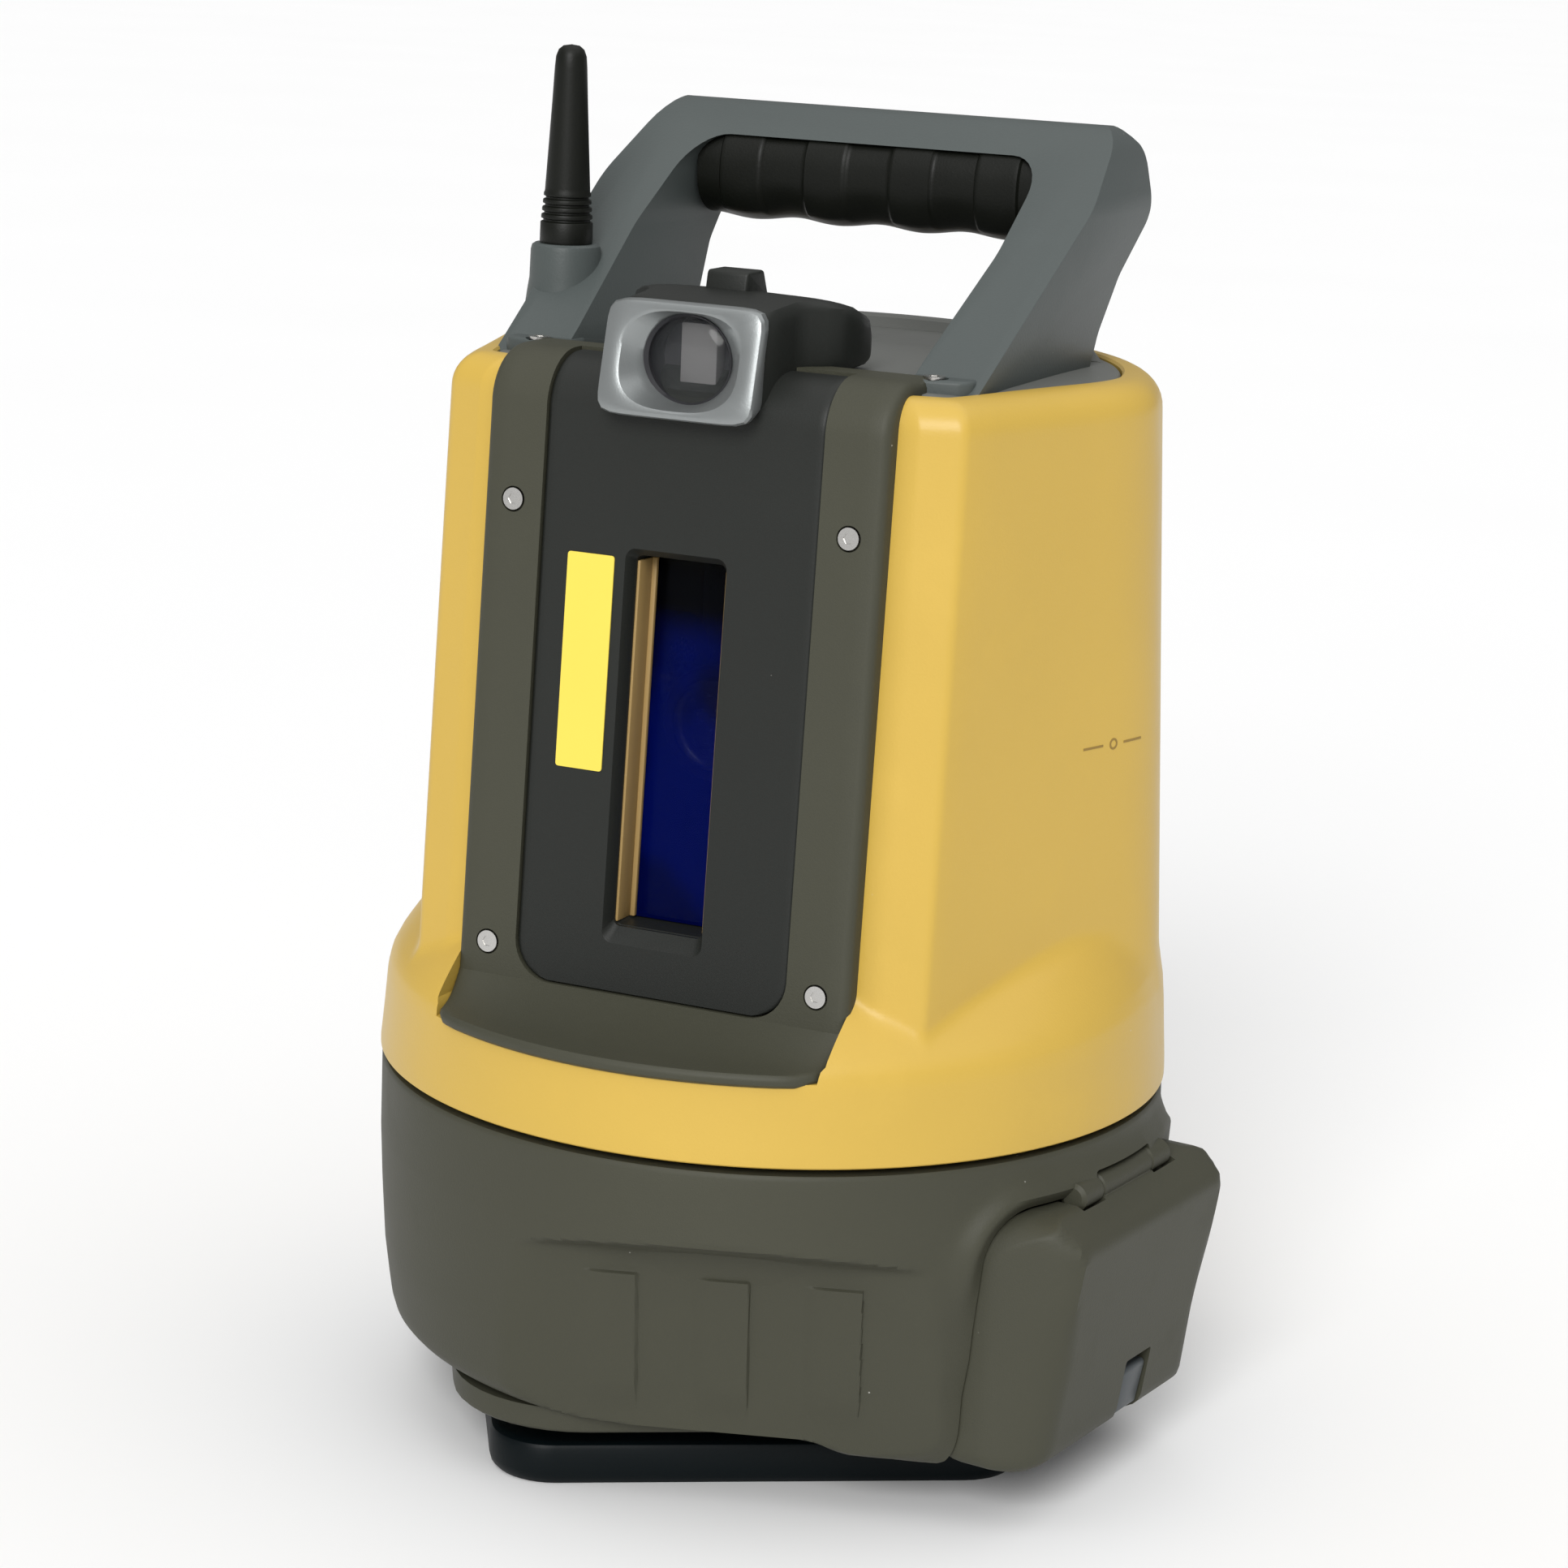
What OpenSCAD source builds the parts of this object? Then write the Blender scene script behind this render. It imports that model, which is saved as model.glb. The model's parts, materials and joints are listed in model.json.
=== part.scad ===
// Robotic layout scanner: a turning head with a tilting telescope on a self-levelling base.
// Millimetres. Z is up, z = 0 is the seat of the foot, the head looks towards -Y at rest.
// Azimuths are measured from -Y towards +X, as seen from above.

/* [Head] */
// Radius of the ring at the foot of the head
ring_r = 95; // [94:0.5:97]
// Half width of the front frame
frame_half = 49.6; // [49:0.2:50]
// Half width of the black front panel
panel_half = 34.3; // [33:0.1:35]
// Height of the tilt axis
tilt_z = 177; // [176:0.5:178]

/* [Window] */
// Half width of the window slot
slot_half = 11; // [10:0.5:12]
// Lower end of the window slot
slot_z0 = 133.5; // [132:0.5:136]
// Upper end of the window slot
slot_z1 = 218.5; // [216:0.5:221]

/* [Handle] */
// Half width of the handle across its legs
handle_half = 62; // [60:0.5:63]
// Radius of the grip
grip_r = 13.8; // [13:0.1:14]
// Height of the grip's centre line
grip_z = 300.8; // [300:0.2:303]

/* [Base] */
// Radius of the base skirt at its top
skirt_r = 94.5; // [93:0.5:94.5]
// Azimuth of the ribbed hand recess
recess_az = 18.4; // [10:0.2:24]
// Azimuth of the battery door
door_az = 84; // [80:1:88]
// Half width of the battery door
door_half = 43.5; // [42:0.5:44]

/* [Drives] */
// Teeth on the large azimuth gear
pan_teeth = 56; // [56]
// Teeth on the large tilt gear
tilt_teeth = 48; // [48]
// Teeth on both drive pinions
pinion_teeth = 16; // [16]

/* [Hidden] */
$fn = 64;

run_fit = 0.05;         // radial clearance of a shaft in its bearing
part_gap = 0.3;         // gap between neighbouring covers

// foot and levelling gimbal
foot_top = 10.3;
foot_half = [63.5, 56.5];   // across and along the foot's front direction
foot_shift = -5;            // the foot's middle lies to the left of the axis
foot_round = 14;
foot_az = 32;
block_half = [77, 63];
block_round = 30;
thread_r = 6.9;
insert_r = 11;
gimbal_z = 28;
gimbal_pin_r = 3;
ear_in = 22;
ear_t = 5;
jack_reach = 55;
jack_r = 3;
jack_rest = foot_top + 0.4;

// base
base_z0 = 15.3;
skirt_z0 = 20;
base_z1 = 88;
wall = 3;
bay_half = 38;
bay_n0 = 52;
bay_z0 = 20;
bay_z1 = 71;
door_face = 102.5;
door_top = 76.5;
hinge_n = 94.5;
hinge_z = 77.5;
hinge_r = 3.5;
hinge_pin_r = 1.5;
knuckle_half = 12;
barrel_half = 22;
latch_t = 5;
latch_half = 5;
latch_z0 = 17.6;
latch_z1 = 29;
recess_n = 86.5;
recess_z0 = 29;
recess_z1 = 68;
rib_n = 88.2;
rib_w = 13.4;
rib_pitch = 26.4;
rib_top = 59.5;
back_recess_az = recess_az + 180;
panel_az = 275;
panel_n = 90.5;
cheek_w = 12;
cheek_r = 92.3;

// pan drive
gear_m = 1;
gear_h = 5;
pan_gear_z = 80;
spindle_r = 9;
bearing_r = 15;
bearing_h = 7;
pan_pinion_az = 200;
pan_offset = gear_m * (pan_teeth + pinion_teeth) / 2;
tilt_offset = gear_m * (tilt_teeth + pinion_teeth) / 2;
tilt_gear_x = 40;
axle_r = 5;
tower_x = 29;
tower_t = 6;

// head
head_z0 = 90.5;
ring_band = 104;
body_z0 = 112;
body_z1 = 252;
head_z1 = 259;
crease_x = 65;
crease_back = 8.5;
strip_back = 3.3;
shell_t = 3;
cover_z = 255;
cover_top = 259.5;
rim_top = 262;
frame_top = 262;
frame_t = 4;
lip_r = 93;
lip_z = 110;
sill_z = 117.5;
glass_back = 11.5;
screw_x = 41.8;
screw_z = [228.2, 125.9];
top_screw_x = 49.6;
top_screw_y = -37.1;

// handle, antenna and guide light
grip_y = 45;
leg_in = 44.5;
boss_x = -57.3;
boss_y = -11;
boss_r = 8.2;
boss_top = 281.3;
light_half = 19.6;
light_front = -65;
light_z0 = 251;
light_z1 = 276;
light_z = 263.4;
lens_r = 11.3;

// y of the front face at height z, and radius of the round back of the head there
function front_y(z) = -69.1 + 0.065 * (z - 115.7);
function back_r(z) = 91.2 - 0.0557 * (z - 132);
// unit vector towards azimuth a
function dir(a) = [sin(a), -cos(a)];

// side outline (y, z) of the front skin: up the face, round the brow and back along the top
function skin_curve(d, z0) = concat(
    [[front_y(z0) + d, z0], [front_y(250) + d, 250]],
    [for (a = [165 : -15 : 105]) [-47.5 + (13 - d) * cos(a), 249 + (13 - d) * sin(a)]],
    [[-45, frame_top - d], [-33, frame_top - d]]);
function reversed(list) = [for (i = [len(list) - 1 : -1 : 0]) list[i]];

module facing(a) { rotate([0, 0, a]) children(); }
module along_x(x0, x1) { translate([x0, 0, 0]) rotate([90, 0, 90]) linear_extrude(x1 - x0) children(); }
module both_sides() { children(); mirror([1, 0, 0]) children(); }
module rod_x(r, x0, x1) { translate([x0, 0, 0]) rotate([0, 90, 0]) cylinder(r = r, h = x1 - x0); }
module rod_y(r, y0, y1) { translate([0, y0, 0]) rotate([-90, 0, 0]) cylinder(r = r, h = y1 - y0); }
module ring(r1, r2, z0, z1) {
    translate([0, 0, z0]) difference() {
        cylinder(r = r2, h = z1 - z0, $fn = 96);
        translate([0, 0, -1]) cylinder(r = r1, h = z1 - z0 + 2, $fn = 96);
    }
}
module slab_x(half, y0, y1, z0, z1) { translate([-half, y0, z0]) cube([2 * half, y1 - y0, z1 - z0]); }

// involute spur gear outline with play between the teeth
module gear_2d(n) {
    pressure = 20;
    play = 0.9;
    r = gear_m * n / 2;
    rb = r * cos(pressure);
    ra = r + gear_m;
    rf = r - 1.3 * gear_m;
    function inv(a) = tan(a) * 180 / PI - a;
    function half(q) = 90 / n - play / n * 9 + inv(pressure) - inv(acos(min(1, rb / q)));
    flank = [for (i = [0 : 4]) let (q = max(rb, rf) + (ra - max(rb, rf)) * i / 4) [q, half(q)]];
    polygon([for (k = [0 : n - 1]) let (c = 360 * k / n) each concat(
        [[rf * cos(c - half(rb)), rf * sin(c - half(rb))]],
        [for (f = flank) [f[0] * cos(c - f[1]), f[0] * sin(c - f[1])]],
        [for (f = reversed(flank)) [f[0] * cos(c + f[1]), f[0] * sin(c + f[1])]],
        [[rf * cos(c + half(rb)), rf * sin(c + half(rb))]])]);
}

// ---- foot and gimbal ----

module foot_outline(half, round) {
    c = half - [round, round];
    facing(foot_az) {
        square([2 * half[0], 2 * c[1]], center = true);
        square([2 * c[0], 2 * half[1]], center = true);
        for (x = [-c[0], c[0]], y = [-c[1], c[1]]) translate([x, y]) circle(r = round);
    }
}
module foot_plate() {
    color([0.12, 0.14, 0.145]) difference() {
        rotate([0, 0, foot_az]) translate([foot_shift, 0, 0]) rotate([0, 0, -foot_az]) {
            translate([0, 0, 2.5]) linear_extrude(foot_top - 3.5) foot_outline(foot_half, foot_round);
            translate([0, 0, 1.2]) linear_extrude(foot_top - 1.6)
                foot_outline(foot_half - [0.8, 0.8], foot_round - 0.8);
            linear_extrude(foot_top) foot_outline(foot_half - [2, 2], foot_round - 2);
        }
        translate([0, 0, -1]) cylinder(r = insert_r, h = foot_top + 2);
    }
}
module thread_insert() {
    color([0.72, 0.58, 0.3]) ring(thread_r, insert_r, 0, foot_top);
}
module gimbal_yoke() {
    color("dimgray") difference() {
        union() {
            ring(insert_r, 30, foot_top, 14);
            for (s = [-1, 1])
                translate([s > 0 ? ear_in : -ear_in - ear_t, -7, 12]) cube([ear_t, 14, gimbal_z - 5]);
        }
        translate([0, 0, gimbal_z]) rod_x(gimbal_pin_r + run_fit, -40, 40);
    }
}
module gimbal_cross() {
    color("silver") translate([0, 0, gimbal_z]) difference() {
        union() {
            ring(0, 20.5, -4, 4);
            rod_x(gimbal_pin_r, -ear_in - ear_t, ear_in + ear_t);
            rod_y(gimbal_pin_r, -ear_in - ear_t, ear_in + ear_t);
        }
        translate([0, 0, -10]) cylinder(r = 12, h = 20);
    }
}

// ---- base ----

// outer side of the skirt: nearly straight above, turned in below
module skirt_solid(d, top) {
    rotate_extrude($fn = 128) polygon([[0, skirt_z0 + d], [0, top], [skirt_r - d, top],
        [skirt_r - 0.2 - d, 70], [skirt_r - 1.5 - d, 42], [skirt_r - 2.7 - d, 33], [skirt_r - 3.4 - d, 29],
        [skirt_r - 5 - d, 25.4 + d / 2], [skirt_r - 8 - d, 22.7 + d], [skirt_r - 12 - d, 20.9 + d],
        [skirt_r - 16 - d, skirt_z0 + d]]);
}
module recess_cut(az, floor_n) {
    facing(az) hull() {
        slab_x(60, -120, -floor_n, recess_z0 + 3, recess_z1 - 6);
        slab_x(60, -120, -floor_n - 8, recess_z0 - 6, recess_z1 + 1);
    }
}
module recess_ribs(az) {
    facing(az) for (k = [-1 : 1])
        translate([k * rib_pitch - rib_w / 2, -rib_n, recess_z0 + 2])
            cube([rib_w, 5, rib_top - recess_z0 - 2]);
}
module base_housing() {
    color([0.30, 0.30, 0.26]) difference() {
        union() {
            difference() {
                skirt_solid(0, base_z1);
                for (az = [recess_az, back_recess_az]) recess_cut(az, recess_n);
            }
            for (az = [recess_az, back_recess_az]) recess_ribs(az);
            // raised lip round the door, and the fixed hinge knuckles
            facing(door_az) difference() {
                slab_x(door_half + 5, -89, -70, skirt_z0 + 4, door_top + 3.5);
                slab_x(door_half + part_gap, -120, 0, 0, door_top + part_gap);
            }
            facing(door_az) translate([0, -hinge_n, hinge_z]) rod_x(hinge_r, -barrel_half, barrel_half);
            // cheeks that carry the skirt down on both sides of the door
            intersection() {
                ring(62, cheek_r, base_z0, 40);
                facing(door_az) both_sides()
                    translate([door_half + part_gap, -100, 0]) cube([cheek_w, 38, 60]);
            }
        }
        ring(0, skirt_r - 13, skirt_z0 - 1, base_z1 - wall);
        ring(0, 62, base_z1 - wall - 1, base_z1 + 1);
        facing(door_az) {
            slab_x(door_half - 2.2, -120, -40, 0, door_top - 3.5);
            slab_x(door_half + part_gap, -120, -40, 0, skirt_z0 + 4.5);
            translate([0, -hinge_n, hinge_z]) {
                rod_x(hinge_r + 0.8, -knuckle_half - part_gap, knuckle_half + part_gap);
                slab_x(knuckle_half + part_gap, -20, 3, -8, 0);
                rod_x(hinge_pin_r, -barrel_half - 1, barrel_half + 1);
            }
        }
        facing(panel_az) slab_x(22, -120, -84, 36, 72);
    }
}
module base_plate() {
    color([0.29, 0.29, 0.25]) difference() {
        union() {
            translate([0, 0, base_z0]) linear_extrude(skirt_z0 - 0.5 - base_z0)
                foot_outline(block_half, block_round);
            ring(0, skirt_r - 13.2, skirt_z0 - 1, skirt_z0 + 2.5);
        }
        translate([0, 0, base_z0 - 1]) cylinder(r = 35, h = 20);
        for (p = [[0, jack_reach], [-jack_reach, 0]])
            translate([p[0], p[1], base_z0 - 1]) cylinder(r = jack_r + 1.2, h = 20);
        facing(door_az) slab_x(door_half + cheek_w + part_gap, -120, -61.7, 0, 60);
    }
    color("gray") difference() {
        for (s = [-1, 1])
            translate([-7, s > 0 ? ear_in : -38, base_z0 + 1]) cube([14, 16, gimbal_z - base_z0 + 5]);
        translate([0, 0, gimbal_z]) rod_y(gimbal_pin_r + run_fit, -60, 60);
    }
}
module base_frame() {
    color([0.6, 0.6, 0.58]) difference() {
        union() {
            ring(0, 72, 73, 76);
            ring(0, bearing_r + 4, 46, 76);
            for (a = [20, 140, 240]) facing(a)
                translate([0, -62, skirt_z0 + 2.5]) cylinder(r = 4, h = 73 - skirt_z0 - 2.5);
        }
        translate([0, 0, 40]) cylinder(r = bearing_r, h = 50);
        facing(pan_pinion_az) translate([0, -pan_offset, 60]) cylinder(r = 7, h = 30);
        facing(door_az) slab_x(bay_half + 3, -120, -bay_n0 + 2, 0, 72.9);
    }
}
module pan_bearings() {
    color("silver") for (z = [47, 68]) ring(spindle_r + run_fit, bearing_r, z, z + bearing_h);
}
module pan_motor() {
    color([0.2, 0.2, 0.22]) facing(pan_pinion_az) translate([0, -pan_offset, 0]) difference() {
        translate([0, 0, 40]) cylinder(r = 13, h = 33);
        translate([0, 0, 66]) cylinder(r = 2 + run_fit, h = 10);
    }
}
module pan_pinion() {
    color("goldenrod") facing(pan_pinion_az) translate([0, -pan_offset, 0]) {
        translate([0, 0, pan_gear_z]) linear_extrude(gear_h)
            rotate(90 + 180 / pinion_teeth) gear_2d(pinion_teeth);
        translate([0, 0, 67]) cylinder(r = 2, h = pan_gear_z - 66);
    }
}
module battery_bay() {
    color([0.16, 0.16, 0.17]) facing(door_az) difference() {
        slab_x(bay_half + 2, -78, -bay_n0 + 2, bay_z0 - 1.5 + 8, bay_z1 + 1.5);
        slab_x(bay_half, -90, -bay_n0, bay_z0 + 8, bay_z1);
    }
}
module battery_pack() {
    color([0.1, 0.1, 0.11]) facing(door_az) {
        slab_x(bay_half - 1.5, -86, -bay_n0 - 2, bay_z0 + 8, bay_z1 - 2);
        slab_x(10, -88, -86, 45, 60);
    }
}
module battery_contacts() {
    color("gold") facing(door_az) for (k = [-2 : 2])
        translate([k * 7 - 1.5, -bay_n0 - 2, 40]) cube([3, 2, 12]);
}
module hinge_pin() {
    color("silver") facing(door_az) translate([0, -hinge_n, hinge_z])
        rod_x(hinge_pin_r, -barrel_half + 0.5, barrel_half - 0.5);
}
module door_block(d) {
    hull() for (s = [-1, 1]) {
        translate([s * (door_half - 6), 6 - door_face, base_z0 + 4 + d])
            cylinder(r = 6 - d, h = 48, $fn = 32);
        translate([s * (door_half - 6), 9 - door_face, base_z0 + 0.3 + d])
            cylinder(r = 6 - d, h = 52, $fn = 32);
        translate([s * (door_half - 4), 14.5 - door_face, 60])
            cylinder(r = 4 - d, h = door_top - 60 - d, $fn = 32);
    }
    slab_x(door_half - d, 12 - door_face, 38 - door_face, base_z0 + 0.3 + d, door_top - 0.5 - d);
}
module battery_door() {
    color([0.32, 0.32, 0.28]) facing(door_az) difference() {
        union() {
            difference() {
                door_block(0);
                slab_x(door_half - 2.5, 2.5 - door_face, 60 - door_face, base_z0 + 3, door_top - 9);
                slab_x(door_half - 2.5, 9 - door_face, 60 - door_face, base_z0 + 3, door_top - 3);
                rotate([0, 0, -door_az]) skirt_solid(-part_gap, base_z1);
                slab_x(60, -75, 0, 0, 100);
            }
            translate([0, -hinge_n, hinge_z]) rod_x(hinge_r, -knuckle_half, knuckle_half);
            slab_x(knuckle_half, -hinge_n - 1, -hinge_n + 2.6, door_top - 8, hinge_z - 2);
        }
        for (s = [-1, 1])
            translate([s * (knuckle_half + 6), -hinge_n, hinge_z]) rod_x(hinge_r + 0.6, -5.7, 5.7);
        translate([0, -hinge_n, hinge_z]) rod_x(hinge_pin_r + run_fit, -30, 30);
        translate([latch_t, 0, 0]) slab_x(latch_half + 0.4, -120, -88, 0, latch_z1 + 3.4);
    }
}
module battery_latch() {
    color([0.27, 0.30, 0.31]) facing(door_az) translate([latch_t, 0, 0]) {
        slab_x(latch_half, 3 - door_face, 6 - door_face, latch_z0, latch_z1);
        slab_x(latch_half, 1.2 - door_face, 4 - door_face, latch_z0 + 1, latch_z0 + 3);
        slab_x(3, 5 - door_face, 8.5 - door_face, latch_z1 - 5, latch_z1 - 2);
        slab_x(latch_half + 1.8, 3 - door_face, 4.2 - door_face, latch_z0 + 2, latch_z1 - 1);
    }
}
module level_motors() {
    color([0.25, 0.25, 0.27]) for (p = [[0, jack_reach], [-jack_reach, 0]])
        translate([p[0], p[1], 0]) difference() {
            translate([0, 0, skirt_z0 + 2.5]) cylinder(r = 9, h = 34);
            translate([0, 0, 20]) cylinder(r = jack_r + run_fit, h = 34);
        }
}
module level_jack(p) {
    color("silver") translate([p[0], p[1], 0]) {
        translate([0, 0, jack_rest + jack_r]) cylinder(r = jack_r, h = 36 - jack_r);
        translate([0, 0, jack_rest + jack_r]) sphere(r = jack_r);
    }
}
module level_jack_x() { level_jack([0, jack_reach]); }
module level_jack_y() { level_jack([-jack_reach, 0]); }
module control_panel() {
    color([0.13, 0.14, 0.14]) facing(panel_az) difference() {
        intersection() {
            slab_x(21.7, -panel_n, -84, 36.3, 71.7);
            rotate([0, 0, -panel_az]) skirt_solid(0.2, base_z1);
        }
        translate([-11, 0, 54]) rod_y(5.5, -100, -86.5);
        translate([10, 0, 54]) rod_y(6.2, -100, -86.5);
        for (x = [-15, -11, -7]) translate([x, 0, 65]) rod_y(1.1, -100, -88);
    }
}
module power_button() {
    color([0.35, 0.36, 0.36]) facing(panel_az) translate([-11, 0, 54]) rod_y(5.2, -panel_n - 0.8, -88.2);
}
module status_lights() {
    color([0.3, 0.8, 0.3]) facing(panel_az) for (x = [-15, -11, -7])
        translate([x, 0, 65]) rod_y(1.1, -panel_n + 0.1, -88);
}
module data_port() {
    color("silver") facing(panel_az) translate([10, 0, 54]) difference() {
        rod_y(6.2, -panel_n + 0.2, -86.5);
        rod_y(4.4, -100, -88.5);
    }
}
module port_cap() {
    color([0.08, 0.08, 0.08]) facing(panel_az) translate([10, 0, 54]) {
        rod_y(4.3, -panel_n - 0.1, -88.6);
        rod_y(6.6, -panel_n - 2, -panel_n - 0.05);
    }
}
module seal_ring() {
    color([0.06, 0.05, 0.05]) ring(85, 89.5, base_z1, head_z0 - part_gap);
}

// ---- head: drive and frame ----

module spindle() {
    color("silver") difference() {
        union() {
            translate([0, 0, 45]) cylinder(r = spindle_r, h = 50);
            translate([0, 0, 91]) cylinder(r = 26, h = 4);
        }
        translate([0, 0, 40]) cylinder(r = 5.5, h = 60);
    }
}
module pan_gear() {
    color([0.75, 0.6, 0.3]) facing(pan_pinion_az) rotate(-90) difference() {
        translate([0, 0, pan_gear_z]) linear_extrude(gear_h) gear_2d(pan_teeth);
        translate([0, 0, 70]) cylinder(r = spindle_r, h = 30);
    }
}
module encoder_disc() {
    color([0.7, 0.75, 0.78]) ring(spindle_r, 24, 88, 89.2);
}
module head_frame() {
    color([0.62, 0.63, 0.62]) difference() {
        union() {
            ring(8, 82, 95, 100);
            both_sides() translate([tower_x, -22, 100]) cube([tower_t, 44, tilt_z - 100]);
            both_sides() translate([0, 0, tilt_z]) rod_x(17, tower_x, tower_x + tower_t);
        }
        translate([0, 0, tilt_z]) rod_x(11, -60, 60);
        slab_x(100, -110, -62, 90, 110);
        // passage for the tilt motor's shaft
        translate([0, tilt_offset, tilt_z]) rod_x(4, 20, 60);
    }
}
module tilt_bearings() {
    color("silver") for (s = [-1, 1])
        translate([s > 0 ? tower_x : -tower_x - tower_t, 0, tilt_z]) difference() {
        rod_x(11, 0, tower_t);
        rod_x(axle_r + run_fit, -1, tower_t + 1);
    }
}
module tilt_motor() {
    color([0.2, 0.2, 0.22]) translate([0, tilt_offset, tilt_z]) difference() {
        union() {
            rod_x(11, 18, tower_x);
            translate([tower_x - 6, -9, -28]) cube([6, 18, 28]);
        }
        rod_x(2 + run_fit, tower_x - 8, 60);
    }
}
module tilt_pinion() {
    color("goldenrod") translate([0, tilt_offset, tilt_z]) {
        along_x(tilt_gear_x, tilt_gear_x + gear_h) rotate(180 / pinion_teeth) gear_2d(pinion_teeth);
        rod_x(2, tower_x - 7, tilt_gear_x + 1);
    }
}
module circuit_board() {
    color([0.1, 0.32, 0.2]) {
        translate([-52, 58, 108]) cube([104, 1.6, 120]);
        for (z = [125, 165, 205]) translate([-30, 54, z]) cube([26, 4, 18]);
    }
}

// ---- head: covers ----

// everything behind a leaning plane that faces azimuth a and stands n0 out at z0 and n1 out at z1
module behind(a, n0, n1, z0, z1) {
    facing(a) along_x(-150, 150) polygon([[-n0, z0], [150, z0], [150, z1], [-n1, z1]]);
}
// the head's body: a round cone cut flat in front, on two front strips and on both sides
module head_body(d, z0, z1) {
    intersection() {
        rotate_extrude($fn = 128) polygon([[0, z0], [back_r(z0) - d, z0], [back_r(251) - d, 251],
            [back_r(251) - 1 - d, 254.5], [back_r(251) - 3.5 - d, 257.5],
            [back_r(251) - 8 - d, z1], [0, z1]]);
        behind(0, 0.3 - d - front_y(z0) - strip_back, 0.3 - d - front_y(z1) - strip_back, z0 - 1, z1 + 1);
        for (s = [-1, 1]) {
            behind(s * 18.7, 79.5 - d, 70.2 - d, z0 - 1, z1 + 1);
            behind(s * 72.3, 80.4 - d, 77.4 - d, z0 - 1, z1 + 1);
        }
    }
}
module ring_solid(d, z0) {
    rotate_extrude($fn = 128) polygon([
        [0, z0], [ring_r - d, z0], [ring_r - d, ring_band],
        [ring_r - 1.4 - d, 109], [ring_r - 4 - d, 115], [ring_r - 8 - d, 119.5],
        [80 - d, 124 - d], [0, 124 - d]]);
}
module skin(half, d0, d1, z0) {
    along_x(-half, half) polygon(concat(skin_curve(d0, z0), reversed(skin_curve(d1, z0))));
}
module head_shell() {
    color([0.86, 0.70, 0.36]) difference() {
        union() {
            head_body(0, body_z0, head_z1);
            ring_solid(0, head_z0);
        }
        head_body(shell_t, body_z0 - 20, head_z1 - shell_t);
        ring_solid(shell_t, head_z0 - 1);
        slab_x(frame_half + 0.2, -80, -30, sill_z - 6, 300);
        slab_x(frame_half + 0.2, -120, -30, lip_z - 2.2, sill_z + 8);
        cover_solid(8.7, cover_z, head_z1 + 1);
    }
}
// plug that fills the top of the head, in by d from its sides
module cover_solid(d, z0, z1) {
    intersection() {
        ring(0, back_r(251) - d, z0, z1);
        for (s = [-1, 1]) {
            behind(s * 18.7, 70.2 - d, 70.2 - d, z0 - 1, z1 + 1);
            behind(s * 72.3, 77.4 - d, 77.4 - d, z0 - 1, z1 + 1);
        }
    }
}
module front_frame() {
    color([0.31, 0.32, 0.28]) difference() {
        union() {
            skin(frame_half, 0, frame_t, lip_z);
            // sill that slopes out to the lip over the ring
            hull() {
                slab_x(frame_half, front_y(sill_z), front_y(sill_z) + 3, lip_z - 2, sill_z);
                intersection() {
                    ring(70, lip_r, lip_z - 2, lip_z);
                    slab_x(frame_half, -100, -60, 0, 200);
                }
            }
        }
        slab_x(panel_half + 0.15, -80, 0, sill_z, 300);
        for (z = screw_z, s = [-1, 1]) translate([s * screw_x, front_y(z), z]) rotate([-3.7, 0, 0]) {
            rod_y(2.9, -3, 1.6);
            rod_y(1.6, -3, 6);
        }
        both_sides() translate([top_screw_x, top_screw_y, frame_top]) {
            translate([0, 0, -6]) cylinder(r = 1.6, h = 8);
            translate([0, 0, -1.5]) cylinder(r = 2.9, h = 3);
        }
    }
}
module front_panel() {
    color([0.18, 0.19, 0.18]) difference() {
        skin(panel_half, 0.5, 3.5, sill_z + 0.2);
        slab_x(slot_half, -80, -40, slot_z0, slot_z1);
        slab_x(light_half + 0.2, -80, -20, light_z0 + 0.8, 300);
    }
}
module window_liner() {
    color([0.47, 0.41, 0.29]) difference() {
        along_x(-slot_half - 2, slot_half + 2) polygon([
            [front_y(slot_z0) + 3.6, slot_z0 - 2], [front_y(slot_z1) + 3.6, slot_z1 + 2],
            [front_y(slot_z1) + 14, slot_z1 + 2], [front_y(slot_z0) + 14, slot_z0 - 2]]);
        slab_x(slot_half, -80, -30, slot_z0, slot_z1);
    }
}
module window_glass() {
    color([0.02, 0.05, 0.3, 0.7]) along_x(-slot_half + 0.05, slot_half - 0.05) polygon([
        [front_y(slot_z0) + glass_back, slot_z0 + 0.05], [front_y(slot_z1) + glass_back, slot_z1 - 0.05],
        [front_y(slot_z1) + glass_back + 2, slot_z1 - 0.05],
        [front_y(slot_z0) + glass_back + 2, slot_z0 + 0.05]]);
}
module blank_label() {
    color([0.95, 0.87, 0.4]) along_x(-27.2, -15.4) polygon([
        [front_y(169) + 0.2, 169], [front_y(218) + 0.2, 218],
        [front_y(218) + 0.5, 218], [front_y(169) + 0.5, 169]]);
}
module socket_screw() {
    difference() {
        union() {
            cylinder(r = 2.5, h = 1.4);
            translate([0, 0, -4]) cylinder(r = 1.55, h = 4.5);
        }
        translate([0, 0, 0.4]) cylinder(r = 1.2, h = 2, $fn = 6);
    }
}
module front_screws() {
    color("silver") for (z = screw_z, s = [-1, 1])
        translate([s * screw_x, front_y(z), z]) rotate([-3.7, 0, 0]) translate([0, 1.55, 0])
            rotate([90, 0, 0]) socket_screw();
}
module top_screws() {
    color("silver") both_sides() translate([top_screw_x, top_screw_y, frame_top - 1.45]) socket_screw();
}
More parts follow.
